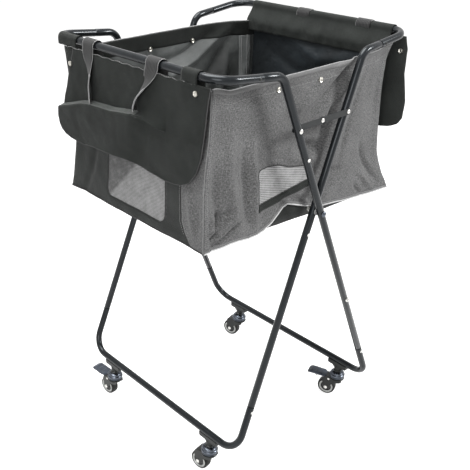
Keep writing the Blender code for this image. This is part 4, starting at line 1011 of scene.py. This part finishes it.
def polygon_area(loop):
    return abs(sum(a[0] * b[1] - b[0] * a[1] for a, b in zip(loop, loop[1:] + loop[:1]))) / 2


def inside(loop, x, z):
    hit = False
    for (x0, z0), (x1, z1) in zip(loop, loop[1:] + loop[:1]):
        if (z0 > z) != (z1 > z) and x < (x1 - x0) * (z - z0) / (z1 - z0) + x0:
            hit = not hit
    return hit


def denser(points, step):
    """The same open line with a point at least every step."""
    made = []
    for a, b in zip(points, points[1:]):
        count = max(1, round(hypot(b[0] - a[0], b[1] - a[1]) / step))
        made += [(a[0] + (b[0] - a[0]) * k / count, a[1] + (b[1] - a[1]) * k / count) for k in range(count)]
    return made + [points[-1]]


def rounded_loop(corners, radii, step):
    """A closed outline with a radius at each corner, or none where it is zero."""
    made = []
    count = len(corners)
    for i, size in enumerate(radii):
        a, b, c = (Vector((*corners[(i + k) % count], 0.0)) for k in (-1, 0, 1))
        if size:
            made += [(p.x, p.y) for p in arc(a, b, c, size, 6)]
        else:
            made.append((b.x, b.y))
    return denser(made + [made[0]], step)[:-1]


def panel(name, outline, holes, place, materials, spacing=0.0055, thickness=WALL_T, flip=False):
    """A cloth panel cut to an outline with holes, laid on a surface; its map is the flat cut."""
    points, edges = [], []
    for loop in (outline, *holes):
        base = len(points)
        points += loop
        edges += [(base + i, base + (i + 1) % len(loop)) for i in range(len(loop))]
    cells = {}
    for x, z in points:
        cells.setdefault((int(x // spacing), int(z // spacing)), []).append((x, z))
    xs, zs = [p[0] for p in outline], [p[1] for p in outline]
    rows = int((max(zs) - min(zs)) / (spacing * 0.866)) + 1
    for j in range(1, rows):
        z = min(zs) + j * spacing * 0.866
        x = min(xs) + (spacing / 2 if j % 2 else 0.0)
        while x < max(xs):
            near = [p for i in (-1, 0, 1) for k in (-1, 0, 1)
                    for p in cells.get((int(x // spacing) + i, int(z // spacing) + k), ())]
            clear = all(hypot(p[0] - x, p[1] - z) > spacing * 0.55 for p in near)
            if clear and inside(outline, x, z) and not any(inside(hole, x, z) for hole in holes):
                points.append((x, z))
            x += spacing
    flat, _, triangles, *_ = delaunay_2d_cdt([Vector(p) for p in points], edges, [], 0, 0.0000001)
    kept = []
    for triangle in triangles:
        x = sum(flat[i][0] for i in triangle) / 3
        z = sum(flat[i][1] for i in triangle) / 3
        if inside(outline, x, z) and not any(inside(hole, x, z) for hole in holes):
            kept.append(tuple(reversed(triangle)) if flip else tuple(triangle))
    used = sorted({i for face in kept for i in face})
    number = {i: k for k, i in enumerate(used)}
    verts = [place(flat[i][0], flat[i][1]) for i in used]
    item = from_data(name, verts, [tuple(number[i] for i in face) for face in kept], materials[0])
    for extra in materials[1:]:
        item.data.materials.append(extra)
    layer = item.data.uv_layers.new(name="cloth")
    for loop in item.data.loops:
        layer.data[loop.index].uv = flat[used[loop.vertex_index]]
    if thickness:
        skin = item.modifiers.new("skin", "SOLIDIFY")
        skin.thickness = thickness
        skin.offset = -1.0
        skin.material_offset = 1 if len(materials) > 1 else 0
    item["flat_area"] = polygon_area(outline) - sum(polygon_area(hole) for hole in holes)
    item["flat_size"] = (max(xs) - min(xs), max(zs) - min(zs))
    return item


def declare(item):
    """Remove the extent and area of its own outline that the panel carried."""
    del item["flat_size"]
    del item["flat_area"]


def side_window(side_name):
    """Cut of the net window in a long wall: it slopes down towards the rear."""
    corners = [(-0.1375, 0.6785), (0.024, 0.6935), (0.024, 0.7225), (-0.040, 0.7345), (-0.074, 0.7470),
               (-0.108, 0.7515), (-0.1375, 0.7500)]
    radii = (0.002, 0.004, 0.006, 0.0, 0.0, 0.0, 0.014)
    if side_name == "left":
        corners = [(-x, z) for x, z in reversed(corners)]
        radii = tuple(reversed(radii))
    return rounded_loop(corners, radii, 0.005)


def wall_outline(side_name):
    low = denser([(x, curve_at(HEM, x)) for x in (-HALF_LENGTH, *[p[0] for p in HEM[1:-1]], HALF_LENGTH)], 0.006)
    xs = [HALF_LENGTH - HALF_LENGTH * k / 30 for k in range(61)]
    high = denser([(x, top_z(x, side_name)) for x in xs], 0.006)
    right = denser([low[-1], high[0]], 0.006)[1:-1]
    left = denser([high[-1], low[0]], 0.006)[1:-1]
    return low + right + high + left


def band(name, path, width, material, thickness, lift, surface, owner, steps=4):
    """A flat tape laid on a wall along (a, z) points."""
    rows = []
    for k, (a, z) in enumerate(path):
        ahead = path[min(k + 1, len(path) - 1)]
        behind = path[max(k - 1, 0)]
        da, dz = ahead[0] - behind[0], ahead[1] - behind[1]
        size = hypot(da, dz) or 1.0
        na, nz = -dz / size, da / size
        half = width / 2
        rows.append([surface(a + na * half * s, z + nz * half * s, lift)
                     for s in [-1 + 2 * i / steps for i in range(steps + 1)]])
    item = grid(name, rows, material, thickness, 0.0)
    return carry(item, owner)


def spread(start, length, count):
    """Evenly spaced values over a length, both ends in."""
    return [start + length * k / count for k in range(count + 1)]


def on_side(side_name):
    return lambda x, z, lift=0.0: side_point(side_name, x, z, lift)


def on_end(end_name):
    return lambda y, z, lift=0.0: end_point(end_name, y, z, lift)


def cord_on(name, points, radius, material, owner, cyclic=False):
    return carry(as_mesh(strand(name, points, radius, material, 1, cyclic)), owner)


def fill_window(prefix, label, hole, place, material, edge, owner, flip):
    """The net behind a window, and the binding round the window's rim."""
    net = panel(f"{prefix}net_{label}", hole, [], lambda a, z: place(a, z, -0.0004), [material], 0.008, 0.0, flip)
    carry(net, owner)
    declare(net)
    name = f"{prefix.replace('side_', '')}window_edge_{label}"
    cord_on(name, [place(a, z, 0.0003) for a, z in hole], edge, DARK_BINDING, owner, True)


def build_side_walls():
    for side_name, side in SIDES.items():
        outline = wall_outline(side_name)
        place = on_side(side_name)
        hole = side_window(side_name)
        wall = panel("bag_wall_" + side_name, outline, [hole], place, [HEATHER, LINING], 0.0042, flip=side > 0)
        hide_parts("bag_side_" + side_name)
        ride_both(wall)
        declare(wall)
        fill_window("side_", side_name, hole, place, SIDE_NET, 0.0009, ride_both, side > 0)
        turn = 1 if side < 0 else -1
        under = [(turn * x, z) for x, z in zip(spread(-0.137, 0.172, 30), spread(0.6700, 0.016, 30))]
        band("window_band_" + side_name, under, 0.0150, FLAP_CLOTH, 0.0007, 0.0007, place, ride_both)
        hem = [(x / 1000, curve_at(HEM, x / 1000)) for x in range(-290, 291, 4)]
        cord_on("hem_piping_" + side_name, [place(x, z + 0.0004, 0.0006) for x, z in hem], 0.0016, PIPING, ride_both)
        band("hem_tape_" + side_name, [(x, z + 0.0036) for x, z in hem], 0.0060, TAPE, 0.0006, 0.0006, place, ride_both,
             2)
        top = [(x / 1000, top_z(x / 1000, side_name)) for x in range(-290, 291, 5)]
        cord_on("top_cord_" + side_name, [place(x, z, -0.0003) for x, z in top], 0.0014, TOP_CORD, ride_both)
        band("top_tape_" + side_name, [(x, z - 0.0045) for x, z in top], 0.0080, TAPE, 0.0006, 0.0006, place, ride_both,
             2)
        band("top_lining_" + side_name, [(x, z - 0.0175) for x, z in top], 0.0340, BINDING_CLOTH, 0.0008,
             -WALL_T - 0.0008, place, ride_both, 8)
    inside_left = [(0.259, z) for z in spread(0.640, 0.245, 60)]
    left = on_side("left")
    band("corner_lining", inside_left, 0.0400, CORNER_LINING, 0.0006, -WALL_T - 0.0008, left, ride_both,
         8)
    for number, x in enumerate((0.246, 0.264)):
        seam = [left(x + 0.0006 * sin(z * 130), z, -WALL_T - 0.0016) for _, z in inside_left]
        cord_on(f"corner_lining_seam_{number}", seam, 0.0007, THREAD, ride_both)


def heather_edge(z):
    """How far the grey cloth wraps round the front right corner onto the end."""
    return curve_at([(0.60, -0.228), (0.625, -0.186), (0.645, -0.168), (0.668, -0.157), (0.95, -0.154)], z)


def end_window():
    """Cut of an end's net window, with rounded lower corners."""
    corners = [(-0.1065, 0.6435), (0.0975, 0.6435), (0.0975, 0.800), (-0.1065, 0.800)]
    return rounded_loop(corners, (0.018, 0.018, 0.012, 0.012), 0.005)


def build_end_walls():
    for end_name, end in ENDS.items():
        owner = on_body(LOOPS[end])
        bottom = bottom_z(end * HALF_LENGTH)
        top = 0.930 if end < 0 else 0.914
        place = on_end(end_name)
        rows = spread(bottom, top - bottom, 50)
        if end < 0:
            seam = [(heather_edge(z), z) for z in rows]
            outline = denser([seam[0], (HALF_END, bottom), (HALF_END, top), seam[-1]], 0.0055) + seam[-2:0:-1]
        else:
            outline = denser([(-HALF_END, bottom), (HALF_END, bottom), (HALF_END, top), (-HALF_END, top),
                              (-HALF_END, bottom)], 0.0055)[:-1]
        hole = end_window()
        wall = panel("bag_end_wall_" + end_name, outline, [hole], place, [END_CLOTH, END_LINING], 0.0055, flip=end < 0)
        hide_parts("bag_end_" + end_name)
        owner(wall)
        declare(wall)
        fill_window("end_", end_name, hole, place, END_NET, 0.0008, owner, end < 0)
        hem = [place(y, bottom + 0.0004, 0.0005) for y in spread(-HALF_END, 2 * HALF_END, 60)]
        cord_on("end_hem_" + end_name, hem, 0.0015, DARK_BINDING, owner)
        if end < 0:
            outline = denser([(-HALF_END, bottom), seam[0]], 0.0055)[:-1] + seam
            outline += denser([seam[-1], (-HALF_END, top), (-HALF_END, bottom)], 0.0055)[1:-1]
            piece = panel("front_corner_cloth", outline, [], place, [HEATHER, LINING], 0.0050, flip=True)
            carry(piece, owner)
            declare(piece)
            line = [place(y, z, 0.0004) for y, z in seam]
            cord_on("front_corner_seam", line, 0.0009, DARK_BINDING, owner)
            edge = [place(-0.2285, z, 0.0008) for z in spread(bottom, top - bottom, 60)]
            cord_on("front_corner_ridge", edge, 0.0011, TOP_CORD, owner)


def build_base():
    """The dark base panel, turned up inside the long walls, and the stiff board in it."""
    columns = 72
    floor_rows, rim_rows = 36, 4
    xs = spread(-0.288, 0.576, columns)
    rows = []
    for side_name in ("right", "left"):
        rim = []
        for j in range(rim_rows + 1):
            rise = [max(0.038, curve_at(HEM, x) + 0.026 - bottom_z(x)) for x in xs]
            rim.append([side_point(side_name, x, bottom_z(x) + 0.0015 + up * j / rim_rows, -0.0042)
                        for x, up in zip(xs, rise)])
        rows.append(rim)
    right, left = rows
    all_rows = list(reversed(right))
    for j in range(1, floor_rows):
        t = j / floor_rows
        sag = 0.0035 * sin(pi * t)
        all_rows.append([a.lerp(b, t) - Vector((0, 0, sag * sin(pi * i / columns)))
                         for i, (a, b) in enumerate(zip(right[0], left[0]))])
    all_rows += left
    item = grid("base_panel", all_rows, BASE_CLOTH, 0.0010, 0.0)
    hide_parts("bag_base_tray")
    ride_both(item)
    board_rows = []
    for j in range(37):
        t = 0.012 + 0.976 * j / 36
        row = []
        for i in range(2, columns - 1):
            spot = right[0][i].lerp(left[0][i], t)
            row.append(spot + Vector((0, 0, 0.0042 - 0.0030 * sin(pi * t) * sin(pi * i / columns))))
        board_rows.append(row)
    for end_name, end in ENDS.items():
        level = bottom_z(end * HALF_LENGTH) + 0.0022
        rows = []
        for inset, rise in ((0.020, 0.0), (0.010, 0.0), (0.0036, 0.0006), (0.0030, 0.0060), (0.0030, 0.0140),
                            (0.0030, 0.0220)):
            rows.append([end_point(end_name, y, level + rise, -inset) for y in spread(-0.229, 0.458, 60)])
        skirt = grid("base_turn_up_" + end_name, rows, BASE_CLOTH, 0.0010, 0.0)
        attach(skirt, LOOPS[end])
    board = grid("floor_board", board_rows, BOARD, 0.0025, 0.0)
    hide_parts("base_board")
    ride_both(board)


def button(name, seat, normal, owner):
    """A snap cap: rolled ring, shallow dish and centre."""
    profile = [(0.0, 0.0012), (0.0024, 0.0011), (0.0032, 0.0006), (0.0040, 0.0011), (0.0050, 0.0017)]
    profile += [(SNAP_R - 0.0001, 0.0012), (SNAP_R, 0.0006), (SNAP_R, -0.0010)]
    item = lathe(name, profile, seated(seat, normal), SNAP_METAL, 28)
    return carry(item, owner)


def build_snaps():
    places = {"right": ((-0.103, 0.900), (0.029, 0.897)), "left": ((-0.045, 0.888), (0.090, 0.890))}
    for side_name, spots in places.items():
        side = SIDES[side_name]
        for label, (x, z) in zip("ab", spots):
            button(f"snap_{side_name}_{label}", side_point(side_name, x, z, 0.0002), (0, side, 0.05), ride_both)
            button(f"snap_{side_name}_in_{label}", side_point(side_name, x, z, -0.0028), (0, -side, 0), ride_both)


def stitches(name, points, normal, owner, pitch=0.0042, size=0.0024):
    """Short raised stitches along a seam, all in one piece."""
    verts, faces = [], []
    normal = Vector(normal).normalized()
    walked, last = 0.0, points[0]
    for point in points[1:]:
        step = point - last
        length = step.length
        while walked + pitch <= length + 1e-9:
            walked += pitch
            centre = last + step.normalized() * walked
            along = step.normalized() * size / 2
            across = along.cross(normal).normalized() * 0.00045
            lift = normal * 0.0005
            base = len(verts)
            ring = [across, across * 0.5 + lift, -across * 0.5 + lift, -across]
            verts += [centre - along + r for r in ring] + [centre + along + r for r in ring]
            faces += [(base + k, base + k + 1, base + k + 5, base + k + 4) for k in range(3)]
            faces += [(base, base + 4, base + 7, base + 3), (base + 3, base + 2, base + 1, base)]
            faces += [(base + 4, base + 5, base + 6, base + 7)]
        walked -= length
        last = point
    item = from_data(name, verts, faces, THREAD, False)
    tidy(item.data, 0.0000001)
    return carry(item, owner)


def build_seams():
    """Stitch rows beside the corner seams and along the wall tops."""
    for side_name, side in SIDES.items():
        for end_name, end in ENDS.items():
            owner = on_body(LOOPS[end])
            for inset, label in ((0.005, "a"), (0.010, "b")):
                x = end * (HALF_LENGTH - inset)
                low = curve_at(HEM, x) + 0.009
                high = top_z(x, side_name) - low - 0.006
                line = [side_point(side_name, x, z, 0.0001) for z in spread(low, high, 70)]
                stitches(f"seam_{end_name}_{side_name}_{label}", line, (0, side, 0), owner)
        line = [side_point(side_name, x, top_z(x, side_name) - 0.0245, 0.0001) for x in spread(-0.27, 0.54, 110)]
        stitches(f"top_seam_{side_name}", line, (0, side, 0), ride_both)
        line = [side_point(side_name, x, curve_at(HEM, x) + 0.0055, 0.0010) for x in spread(-0.28, 0.56, 120)]
        stitches(f"hem_seam_{side_name}", line, (0, side, 0), ride_both)
    owner = on_body("front_loop")
    for shift, label in ((0.004, "a"), (-0.004, "b")):
        line = [end_point("front", heather_edge(z) - shift, z, 0.0001) for z in spread(0.640, 0.29, 70)]
        stitches("front_panel_seam_" + label, line, (-1, 0, 0), owner)


# Flaps and straps

FRONT_RIGHT_EDGE = [(0.741, -0.126), (0.742, -0.150), (0.746, -0.172), (0.757, -0.194), (0.780, -0.211),
                    (0.812, -0.224), (0.850, -0.231), (0.896, -0.238), (0.9405, -0.246)]
FRONT_LEFT_EDGE = [(0.741, 0.160), (0.743, 0.190), (0.748, 0.209), (0.757, 0.222), (0.768, 0.227),
                   (0.785, 0.225), (0.806, 0.217), (0.880, 0.184), (0.926, 0.165), (0.9405, 0.160)]
REAR_NEAR_EDGE = [(0.727, -0.150), (0.729, -0.180), (0.734, -0.208), (0.744, -0.228), (0.760, -0.239),
                  (0.800, -0.243), (0.860, -0.235), (0.915, -0.238), (0.9405, -0.231)]
REAR_FAR_EDGE = [(0.727, 0.150), (0.729, 0.175), (0.734, 0.194), (0.744, 0.208), (0.760, 0.215),
                 (0.800, 0.219), (0.860, 0.214), (0.9405, 0.212)]
FLAP_TOP = 0.9405
# Lower edge of the front flap: it sags least in the middle
FLAP_HEM = [(-0.230, 0.741), (-0.126, 0.742), (-0.035, 0.750), (0.067, 0.747), (0.165, 0.741), (0.230, 0.741)]
# The ledge that the straps pull out of the front flap: place along the flap, height of its back edge
SHELF_BACK = [(-0.150, 0.836), (-0.123, 0.840), (-0.085, 0.855), (-0.060, 0.858), (-0.044, 0.858),
              (0.028, 0.847), (0.101, 0.844), (0.133, 0.837), (0.212, 0.810), (0.240, 0.800)]
SHELF_DEPTH, SHELF_SLOPE = 0.0160, 0.45
SHELF_ROWS = 0.0060
# The fold that hangs over below the near strap: its lower edge runs between these places
FOLD_A, FOLD_B = (-0.046, 0.853), (-0.128, 0.838)
FOLD_OUT = 0.0115


def fold_over(y, z):
    """A fold standing out above a slanting edge and cut off sharply below it."""
    t = (y - FOLD_A[0]) / (FOLD_B[0] - FOLD_A[0])
    if t <= 0.0 or t >= 1.0:
        return 0.0
    above = z - (FOLD_A[1] + (FOLD_B[1] - FOLD_A[1]) * t)
    amount = FOLD_OUT * sin(pi * t) ** 0.6
    return amount * (exp(-above / 0.016) if above > 0 else exp(above / 0.0010))


def front_flap_rows(columns):
    """Rows from the hem up: the hanging lower part, the ledge that the straps pull out, the top."""
    rows = []

    def spot(i, z, out):
        left, right = curve_at(FRONT_LEFT_EDGE, z), curve_at(FRONT_RIGHT_EDGE, z)
        y = left + (right - left) * i / columns
        ripple = crumple(y, z, 0.0, 9, 0.0022, 0.0006)
        return Vector((-(FLAP_FACE + out + ripple + fold_over(y, z)), y, z))

    def ledge(i):
        """Height and depth of the ledge in a column, and the column's place."""
        left, right = curve_at(FRONT_LEFT_EDGE, 0.84), curve_at(FRONT_RIGHT_EDGE, 0.84)
        y = left + (right - left) * i / columns
        depth = SHELF_DEPTH * smoothstep(-0.085, -0.030, y) * (1.0 - 0.3 * smoothstep(0.15, 0.24, y))
        return curve_at(SHELF_BACK, y), depth, y

    for j in range(57):
        t = j / 56
        row = []
        for i in range(columns + 1):
            back, depth, y = ledge(i)
            hem = curve_at(FLAP_HEM, y)
            z = hem + (back - max(depth * SHELF_SLOPE, SHELF_ROWS) - hem) * t
            swell = 0.35 + 0.65 * t ** 1.6
            hang = 0.0022 * sin(y * 24 + 0.8) * (1 - t) ** 1.5
            row.append(spot(i, z, depth * swell + hang))
        rows.append(row)
    for j in range(1, 8):
        t = j / 7
        row = []
        for i in range(columns + 1):
            back, depth, y = ledge(i)
            z = back - max(depth * SHELF_SLOPE, SHELF_ROWS) * (1 - t)
            lip = 0.0012 * sin(pi * min(1.0, t * 3)) * min(1.0, depth / 0.004)
            row.append(spot(i, z, depth * (1 - t - 0.06 * t) + lip * 0.3) + Vector((0, 0, lip)))
        rows.append(row)
    for j in range(1, 41):
        t = j / 40
        row = []
        for i in range(columns + 1):
            back, depth, y = ledge(i)
            z = back + (FLAP_TOP - back) * t
            row.append(spot(i, z, -0.06 * depth * (1 - t)))
        rows.append(row)
    return rows


def rear_flap_point(y, z):
    hang = 0.007 * smoothstep(0.0, 1.0, (0.93 - z) / 0.20)
    wave = 0.0030 * sin(y * 22 + 1.0) * smoothstep(0.0, 1.0, (0.92 - z) / 0.16)
    return Vector((FLAP_FACE + hang + wave + crumple(y, z, 0.0, 12, 0.0018, 0.0006), y, z))


def wrap_band(name, end, y0, y1, inner_z, wobble, columns, lean):
    """Cloth turned over the end bar, down to inner_z inside the bag, where it leans away from the wall."""
    rows = []
    outer_z, radius, count = 0.9395, 0.0094, 40
    for k in range(count + 1):
        t = k / count
        if t < 0.2:
            out, z = radius, outer_z + (END_Z - outer_z) * t / 0.2
        elif t < 0.6:
            turn = pi * (t - 0.2) / 0.4
            out, z = radius * cos(turn), END_Z + radius * sin(turn)
        else:
            s = (t - 0.6) / 0.4
            out, z = -radius - lean * smoothstep(0.0, 0.7, s), END_Z + (inner_z - END_Z) * s
        row = []
        for i in range(columns + 1):
            y = y0 + (y1 - y0) * i / columns
            ruck = wobble * (0.5 + noise.noise(Vector((y * 45, t * 4, end * 2.0))))
            ruck += 0.4 * wobble * noise.noise(Vector((y * 90 + t * 9, t * 6, 4.0)))
            hem = 1.5 * wobble * noise.noise(Vector((y * 26, 3.0, end))) * smoothstep(0.85, 1.0, t)
            row.append(Vector((end * (END_X + out * (1 + ruck / radius)), y, z + hem)))
        rows.append(row)
    item = grid(name, rows, FLAP_CLOTH, 0.0011, 0.0)
    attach(item, LOOPS[end])
    return item


def build_flaps():
    front = grid("front_flap_cloth", front_flap_rows(150), FLAP_CLOTH, 0.0012, 0.0)
    front.data.materials.append(LEDGE_HIGHLIGHT_CLOTH)
    # The ledge's top rows take the lighter cloth: a painted highlight on the ledge
    for k, face in enumerate(front.data.polygons):
        if 57 <= k // 150 <= 62 and k % 150 < 88:
            face.material_index = 1
    sharpen(front, 24)
    stand_in(front, "front_flap", "front_loop")
    rows = []
    for j in range(67):
        z = 0.727 + 0.2135 * j / 66
        a, b = curve_at(REAR_FAR_EDGE, z), curve_at(REAR_NEAR_EDGE, z)
        rows.append([rear_flap_point(a + (b - a) * i / 80, z) for i in range(81)])
    rear = grid("rear_flap_cloth", rows, REAR_CLOTH, 0.0012, 0.0)
    stand_in(rear, "rear_flap", "rear_loop")
    pieces = [("front_wrap_near", FRONT, -0.213, -0.172, 0.926, 0.0008, 10, 0.0),
              ("front_wrap_far", FRONT, 0.150, 0.214, 0.926, 0.0008, 14, 0.0),
              ("rear_wrap", REAR, -0.206, 0.206, 0.897, 0.0009, 130, 0.0195)]
    for name, end, y0, y1, low, wobble, columns, lean in pieces:
        piece = wrap_band(name, end, y0, y1, low, wobble, columns, lean)
    owner = on_body("front_loop")
    for y, z, label in ((-0.211, 0.925, "a"), (0.172, 0.906, "b")):
        seat = Vector((-(FLAP_FACE + crumple(y, z, 0.0, 9, 0.0022, 0.0006)) - 0.0008, y, z))
        button("flap_snap_front_" + label, seat, (-1, 0, 0), owner)
    for y, z, label in ((-0.222, 0.909, "a"), (0.172, 0.906, "b")):
        seat = rear_flap_point(y, z)
        button("flap_snap_rear_" + label, seat + Vector((0.0008, 0, 0)), (1, 0, 0), on_body("rear_loop"))
        button("flap_snap_rear_in_" + label, seat - Vector((0.0008, 0, 0)), (-1, 0, 0), on_body("rear_loop"))
    line = [Vector((-FLAP_FACE - 0.0008, 0.205 - 0.405 * k / 90, 0.9395 + 0.0010 * sin(k * 0.9))) for k in range(91)]
    stitches("flap_top_seam_front", line, (-1, 0, 0), owner, 0.0060, 0.0040)
    rows = front_flap_rows(44)
    hem = [row[-1] for row in reversed(rows)] + list(reversed(rows[0])) + [row[0] for row in rows]
    cord_on("front_flap_edge", hem, 0.0009, EDGE_BINDING, owner)


def strap_leg(name, end, y_bar, y_low, z_low, twist, width_low):
    """One strap leg: from inside the bag over the bar and down to the flap's fold."""
    radius = 0.0112
    path, widths, facings = [], [], []
    steps = 60
    for k in range(steps + 1):
        t = k / steps
        if t < 0.26:
            s = t / 0.26
            x, z = -radius + 0.0005, 0.878 + (END_Z - 0.878) * s
            width, lean, y = 0.038, 0.0, y_bar
        elif t < 0.50:
            turn = pi * (t - 0.26) / 0.24
            x, z = -radius * cos(turn), END_Z + radius * sin(turn)
            width, lean, y = 0.038 - 0.003 * (t - 0.26) / 0.24, 0.0, y_bar
        else:
            s = (t - 0.50) / 0.50
            x = radius + 0.0025 * sin(pi * s) + 0.0060 * smoothstep(0.3, 1.0, s)
            z = END_Z + (z_low - END_Z) * s
            width = 0.035 + (width_low - 0.035) * smoothstep(0.05, 0.85, s)
            lean = twist * smoothstep(0.10, 0.75, s)
            y = y_bar + (y_low - y_bar) * smoothstep(0.0, 1.0, s)
        path.append(Vector((end * (END_X + x), y, z)))
        widths.append(width)
        facings.append(Vector((end * sin(lean), cos(lean), -0.25 * sin(lean))))
    rows = []
    columns = 10
    for point, width, facing in zip(path, widths, facings):
        across = facing.normalized()
        rows.append([point + across * width * (i / columns - 0.5) for i in range(columns + 1)])
    item = grid(name, rows, WEBBING, 0.0013, 0.0)
    for side, label in ((0, "a"), (-1, "b")):
        rim = [row[side] for row in rows[20:]]
        cord_on(f"{name}_edge_{label}", rim, 0.0007, FRAY, on_body(LOOPS[end]))
    worn = [row[0] for row in rows[44:]]
    cord_on(name + "_fray", worn, 0.0016, FRAY, on_body(LOOPS[end]))
    return item


# Place of each strap leg: at the bar, at its foot, height of the foot, twist, width at the foot
STRAP_PLACES = {
    "front": [(0.106, 0.101, 0.8420, -0.75, 0.017), (-0.094, -0.044, 0.8590, -1.0, 0.013)],
    "rear": [(-0.130, -0.120, 0.8420, -0.35, 0.030), (0.042, 0.044, 0.8590, 1.0, 0.013)],
}


def build_straps():
    for end_name, end in ENDS.items():
        body = LOOPS[end]
        legs = [strap_leg(f"{end_name}_strap_leg_{label}", end, *leg)
                for label, leg in zip("ab", STRAP_PLACES[end_name])]
        rows = []
        for j in range(9):
            z = 0.868 + 0.022 * j / 8
            low, high = sorted(leg[0] for leg in STRAP_PLACES[end_name])
            rows.append([Vector((end * (END_X - 0.0116), low - 0.018 + (high - low + 0.036) * i / 40,
                                 z - 0.004 * sin(i / 40 * pi))) for i in range(41)])
        grip = grid(end_name + "_strap_grip", rows, WEBBING, 0.0018, 0.0)
        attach(legs[1], body)
        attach(grip, body)
        stand_in(legs[0], end_name + "_strap", body)


# Stage

def area_light(name, location, target, size, power):
    data = bpy.data.lights.new(name, "AREA")
    data.shape = "DISK"
    data.size = size
    data.energy = power
    item = new_object(name, data)
    item.location = location
    item.rotation_euler = (Vector(target) - Vector(location)).to_track_quat("-Z", "Y").to_euler()


def brightest_ray(tree):
    """One where a camera, glossy or transmission ray sees the backdrop, else nothing."""
    path = tree.nodes.new("ShaderNodeLightPath")
    seen = path.outputs["Is Camera Ray"]
    for kind in ("Is Glossy Ray", "Is Transmission Ray"):
        both = tree.nodes.new("ShaderNodeMath")
        both.operation = "MAXIMUM"
        tree.links.new(seen, both.inputs[0])
        tree.links.new(path.outputs[kind], both.inputs[1])
        seen = both.outputs[0]
    return seen


def backdrop_level(tree, operation, value):
    """Strength of the backdrop, from the brightest ray and a fixed value."""
    level = tree.nodes.new("ShaderNodeMath")
    level.operation = operation
    level.inputs[1].default_value = value
    tree.links.new(brightest_ray(tree), level.inputs[0])
    return level.outputs[0]


def build_stage():
    scene = bpy.context.scene
    scene.view_settings.view_transform = "Standard"
    floor = from_data("floor", [(-9, -9, 0), (9, -9, 0), (9, 9, 0), (-9, 9, 0)], [(0, 1, 2, 3)], None, False)
    material = bpy.data.materials.new("floor")
    material.use_nodes = True
    tree = material.node_tree
    tree.nodes.clear()
    out = tree.nodes.new("ShaderNodeOutputMaterial")
    add = tree.nodes.new("ShaderNodeAddShader")
    diffuse = tree.nodes.new("ShaderNodeBsdfDiffuse")
    diffuse.inputs["Color"].default_value = (0.55, 0.55, 0.55, 1.0)
    glow = tree.nodes.new("ShaderNodeEmission")
    tree.links.new(backdrop_level(tree, "MULTIPLY", FLOOR_GLOW), glow.inputs["Strength"])
    tree.links.new(diffuse.outputs[0], add.inputs[0])
    tree.links.new(glow.outputs[0], add.inputs[1])
    tree.links.new(add.outputs[0], out.inputs["Surface"])
    floor.data.materials.append(material)
    world = bpy.data.worlds.new("studio")
    scene.world = world
    world.use_nodes = True
    tree = world.node_tree
    back = tree.nodes["Background"]
    tree.links.new(backdrop_level(tree, "MAXIMUM", WORLD_LEVEL), back.inputs["Strength"])
    back.inputs["Color"].default_value = (1.0, 1.0, 1.0, 1.0)
    area_light("key", (2.0, -2.3, 2.6), (0, 0, 0.6), 1.1, 125)
    area_light("left_fill", (-2.5, -1.5, 1.7), (0, 0, 0.6), 1.8, 46)
    area_light("top", (-0.3, 0.5, 3.1), (0, 0, 0.6), 2.2, 125)


def build_camera():
    data = bpy.data.cameras.new("camera")
    data.sensor_width = SENSOR
    data.lens = FOCAL / PICTURE * SENSOR
    data.shift_x = (PICTURE / 2 - CENTRE_X) / PICTURE
    data.shift_y = (CENTRE_Y - PICTURE / 2) / PICTURE
    item = new_object("camera", data)
    yaw, pitch, roll = radians(YAW), radians(PITCH), radians(ROLL)
    forward = Vector((cos(yaw) * cos(pitch), sin(yaw) * cos(pitch), -sin(pitch)))
    turn = forward.to_track_quat("-Z", "Y").to_matrix().to_4x4() @ Matrix.Rotation(roll, 4, "Z")
    item.matrix_world = Matrix.Translation(CAMERA_PLACE) @ turn
    bpy.context.scene.camera = item


build_camera()
build_stage()
paint_nodes()
build_tubes()
build_leg_hardware()
build_stays()
build_casters()
build_side_walls()
build_end_walls()
build_base()
build_snaps()
build_seams()
build_flaps()
build_straps()
